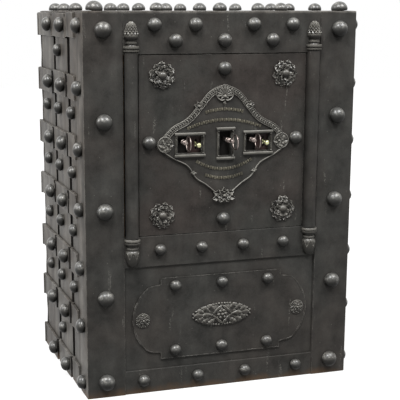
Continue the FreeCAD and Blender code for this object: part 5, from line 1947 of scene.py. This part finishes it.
# --- keys and knobs
def round_of_ball(radius: float, centre: float, first: int, steps: int) -> list[tuple[float, float]]:
    """The round part of a ball's profile for Work.turned.

    Args:
        radius: The ball's radius.
        centre: Its centre's height on the axis.
        first: The step from its lowest point at which the profile starts.
        steps: The steps from its lowest point to its highest, which is left out.

    Returns:
        The profile's (radius, height) points.
    """
    angles = [-QUARTER + math.pi * index / steps for index in range(first, steps)]
    return [(radius * math.cos(angle), centre + radius * math.sin(angle)) for angle in angles]


@dataclass
class KeysAndKnobs(SubAssembly):
    """The three keys with ring bows and the two brass knobs; sizes are in millimetres."""

    bow: float = 14.5
    wire: float = 2.2
    worn: float = 0.6
    collar: float = 5.4
    knob_ball: float = 5.5

    def build(self) -> None:
        """Makes all five."""
        for body in (Body.LEFT_KEY, Body.CENTRE_KEY, Body.RIGHT_KEY):
            self.key(body)
        for body in (Body.LEFT_KNOB, Body.RIGHT_KNOB):
            self.knob(body)

    def key(self, body: Body) -> None:
        """One key: a flattened ring bow, a collared ball, a shank and its bit."""
        node = body.value
        box = node_box(node)
        reach = self.bow + self.wire
        place = on_front(box.middle.x, box.high.y, box.high.z - reach * MM)
        bow_out = box.size.y / MM - self.bow - self.wire
        ball_out = bow_out - (38 if body is Body.CENTRE_KEY else 28)
        work = Work()
        upright = shift(0, 0, bow_out) @ turn_about(QUARTER, "Y")
        bow_place = place @ upright @ scaled(1, 1, 0.8)
        work.ring(self.bow + self.worn / 2, self.wire - self.worn, bow_place, 48, 12)
        start = bow_out - self.bow + 0.6
        collar = [(3.5, -7.6), (4.6, -7.0), (4.6, -6.0), (3.6, -5.4)]
        profile = [(0.0, 0.0), (3.3, 0.0), (3.5, 0.4)]
        profile += [(radius, ball_out + along) for radius, along in collar]
        profile += [(max(3.4, radius), out) for radius, out in round_of_ball(self.collar, ball_out, 1, 10)]
        collar = [(3.6, 6.4), (4.4, 7.0), (4.4, 8.0), (3.3, 8.8)]
        profile += [(radius, ball_out + along) for radius, along in collar]
        neck = [(2.7, -3.0), (3.6, -1.6), (3.8, 0.0), (2.6, 1.4), (0.0, 1.8)]
        profile += [(radius, start + along) for radius, along in neck]
        work.turned(profile, 28, place)
        for low, high, drop in ((0.2, 4.6, 17.4), (4.6, 7.4, 12.0), (7.4, 12.0, 17.4)):
            work.block(Vector((-1.4, -drop, low)), Vector((1.4, 0, high)), place, bevel=0.3)
        work.finish(f"{node}_forged", Dress(body, "bright_steel", (self.finishes.steel,), (node,)))

    def knob(self, body: Body) -> None:
        """One knob: a brass ball on a necked stem, with its keeper disc behind."""
        node = body.value
        box = node_box(node)
        ball = self.knob_ball
        centre = box.size.y / MM - ball
        stem = [(2.0, -9.5), (3.4, -8.6), (3.4, -7.4), (2.1, -6.4), (2.0, -5.2)]
        profile = [(0, 0), (4.5, 0), (4.5, 1.4), (2.0, 1.5)]
        profile += [(radius, centre + along) for radius, along in stem]
        profile += round_of_ball(ball, centre, 2, 12)
        profile.append((0.0, centre + ball))
        work = Work()
        work.turned(profile, 32, on_front(box.middle.x, box.high.y, box.middle.z))
        work.finish(f"{node}_turned", Dress(body, "brass", (self.finishes.brass,), (node,)))


# --- carried nodes
@dataclass
class CarriedNodes(SubAssembly):
    """The frame's own nodes that stay in view, each given its finish."""

    def build(self) -> None:
        """Gives each shown node its material."""
        finishes = self.finishes
        groups: tuple[tuple[Material, tuple[str, ...]], ...] = (
            (finishes.plate, ("top_plate", "bottom_plate", "front_frame", "lower_panel", "lower_plaque")),
            (finishes.plate, ("top_rail", "mid_rail", "bottom_rail", "lock_plate")),
            (finishes.door, ("door_plate", "door_casing", "door_back_cover")),
            (finishes.dark, ("left_side_plate", "right_side_plate", "back_plate", "lock_case", "lock_cover")),
            (finishes.brown, ("key_plates",)),
            (finishes.steel, ("bolt_bar", "bolt_guides", "hinge_pins")),
            (finishes.oak_up, ("left_jamb", "right_jamb", "side_linings", "back_board")),
            (finishes.oak_across, ("door_head_and_sill", "floor_and_ceiling_boards")),
            (finishes.oak_across, ("shelf", "shelf_battens")),
        )
        for material, names in groups:
            for name in names:
                slots = self.nodes[name].data.materials
                slots.clear()
                slots.append(material)
                LOG.info("%s: frame node, %s", name, material.name)


# --- stage
@dataclass
class Stage:
    """The floor, the soft light and the camera.

    The camera's turns are in degrees, its focal length and centre in pixels of the image. A lamp gives its
    name, its place in metres and its power in watts.
    """

    eye: tuple[float, float, float] = (-0.800, -2.276, 0.804)
    pitch: float = 12.048
    yaw: float = 18.119
    focal: float = 1062.2
    image: int = 400
    centre: tuple[float, float] = (168.1, 237.3)
    sensor: float = 36.0
    floor_half: float = 9.0
    floor_colour: Colour = (0.22, 0.22, 0.217)
    lamp_size: float = 1.3
    lamps: tuple[tuple[str, tuple[float, float, float], float], ...] = (
        ("key_light", (-1.3, -1.9, 3.3), 125.0), ("fill_light", (1.5, -1.9, 3.1), 96.0),
        ("left_light", (-3.0, 0.1, 2.0), 62.0),
    )
    aim: tuple[float, float, float] = (0, 0, 0.42)

    def build(self) -> None:
        """Sets up everything round the safe."""
        self.camera()
        self.floor()
        self.world()
        for name, place, power in self.lamps:
            self.lamp(name, place, power)
        bpy.context.scene.view_settings.view_transform = "Standard"

    def camera(self) -> None:
        """The camera, from its focal length and principal point in pixels of the image."""
        data = bpy.data.cameras.new("camera")
        data.sensor_width = self.sensor
        data.lens = self.focal / self.image * self.sensor
        data.shift_x = (self.image / 2 - self.centre[0]) / self.image
        data.shift_y = (self.centre[1] - self.image / 2) / self.image
        data.dof.use_dof = False
        camera = bpy.data.objects.new("camera", data)
        bpy.context.scene.collection.objects.link(camera)
        camera.location = self.eye
        camera.rotation_euler = (math.radians(90 - self.pitch), 0.0, math.radians(-self.yaw))
        bpy.context.scene.camera = camera

    def floor(self) -> None:
        """A pale floor that shows nearly white and keeps the safe's shadow."""
        work = Work()
        bmesh.ops.create_grid(work.bm, x_segments=1, y_segments=1, size=self.floor_half)
        mesh = work.to_mesh("floor")
        floor = bpy.data.objects.new("floor", mesh)
        bpy.context.scene.collection.objects.link(floor)
        material, wires, shader = new_finish("pale_floor")
        length = wires.add("ShaderNodeVectorMath", {0: wires.place()}, operation="LENGTH")
        glow = wires.times_plus(wires.band(length.outputs["Value"], 0.6, 2.6), 0.15, 0.86)
        wires.fill(shader, {"Base Color": opaque(self.floor_colour), "Roughness": 0.9})
        wires.fill(shader, {"Emission Color": WHITE, "Emission Strength": wires.times(wires.seen(), glow)})
        mesh.materials.append(material)

    @staticmethod
    def world() -> None:
        """A plain white surround that lights softly and shows white."""
        world = bpy.data.worlds.new("world")
        bpy.context.scene.world = world
        world.use_nodes = True
        wires = Wiring(world.node_tree)
        back = world.node_tree.nodes["Background"]
        wires.fill(back, {"Color": WHITE, "Strength": wires.times_plus(wires.seen(), 0.92, 0.08)})

    def lamp(self, name: str, place: tuple[float, float, float], power: float) -> None:
        """A soft square lamp that looks at the safe's middle."""
        data = bpy.data.lights.new(name, "AREA")
        data.size = self.lamp_size
        data.energy = power
        lamp = bpy.data.objects.new(name, data)
        bpy.context.scene.collection.objects.link(lamp)
        lamp.location = place
        look = Vector(self.aim) - Vector(place)
        lamp.rotation_euler = look.to_track_quat("-Z", "Y").to_euler()


def main() -> None:
    """Builds the safe's looks in order."""
    logging.basicConfig(level=logging.INFO, format="%(name)s: %(message)s")
    noise.seed_set(NOISE_SEED)
    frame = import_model()
    Stage().build()
    finishes = Finishes()
    groups = (CarriedNodes, FrontPlates, HammeredIron, Studs, Columns, CastOrnament, LockPlate, KeysAndKnobs)
    for group in groups:
        group(finishes, frame["nodes"]).build()


if __name__ == "__main__":
    main()
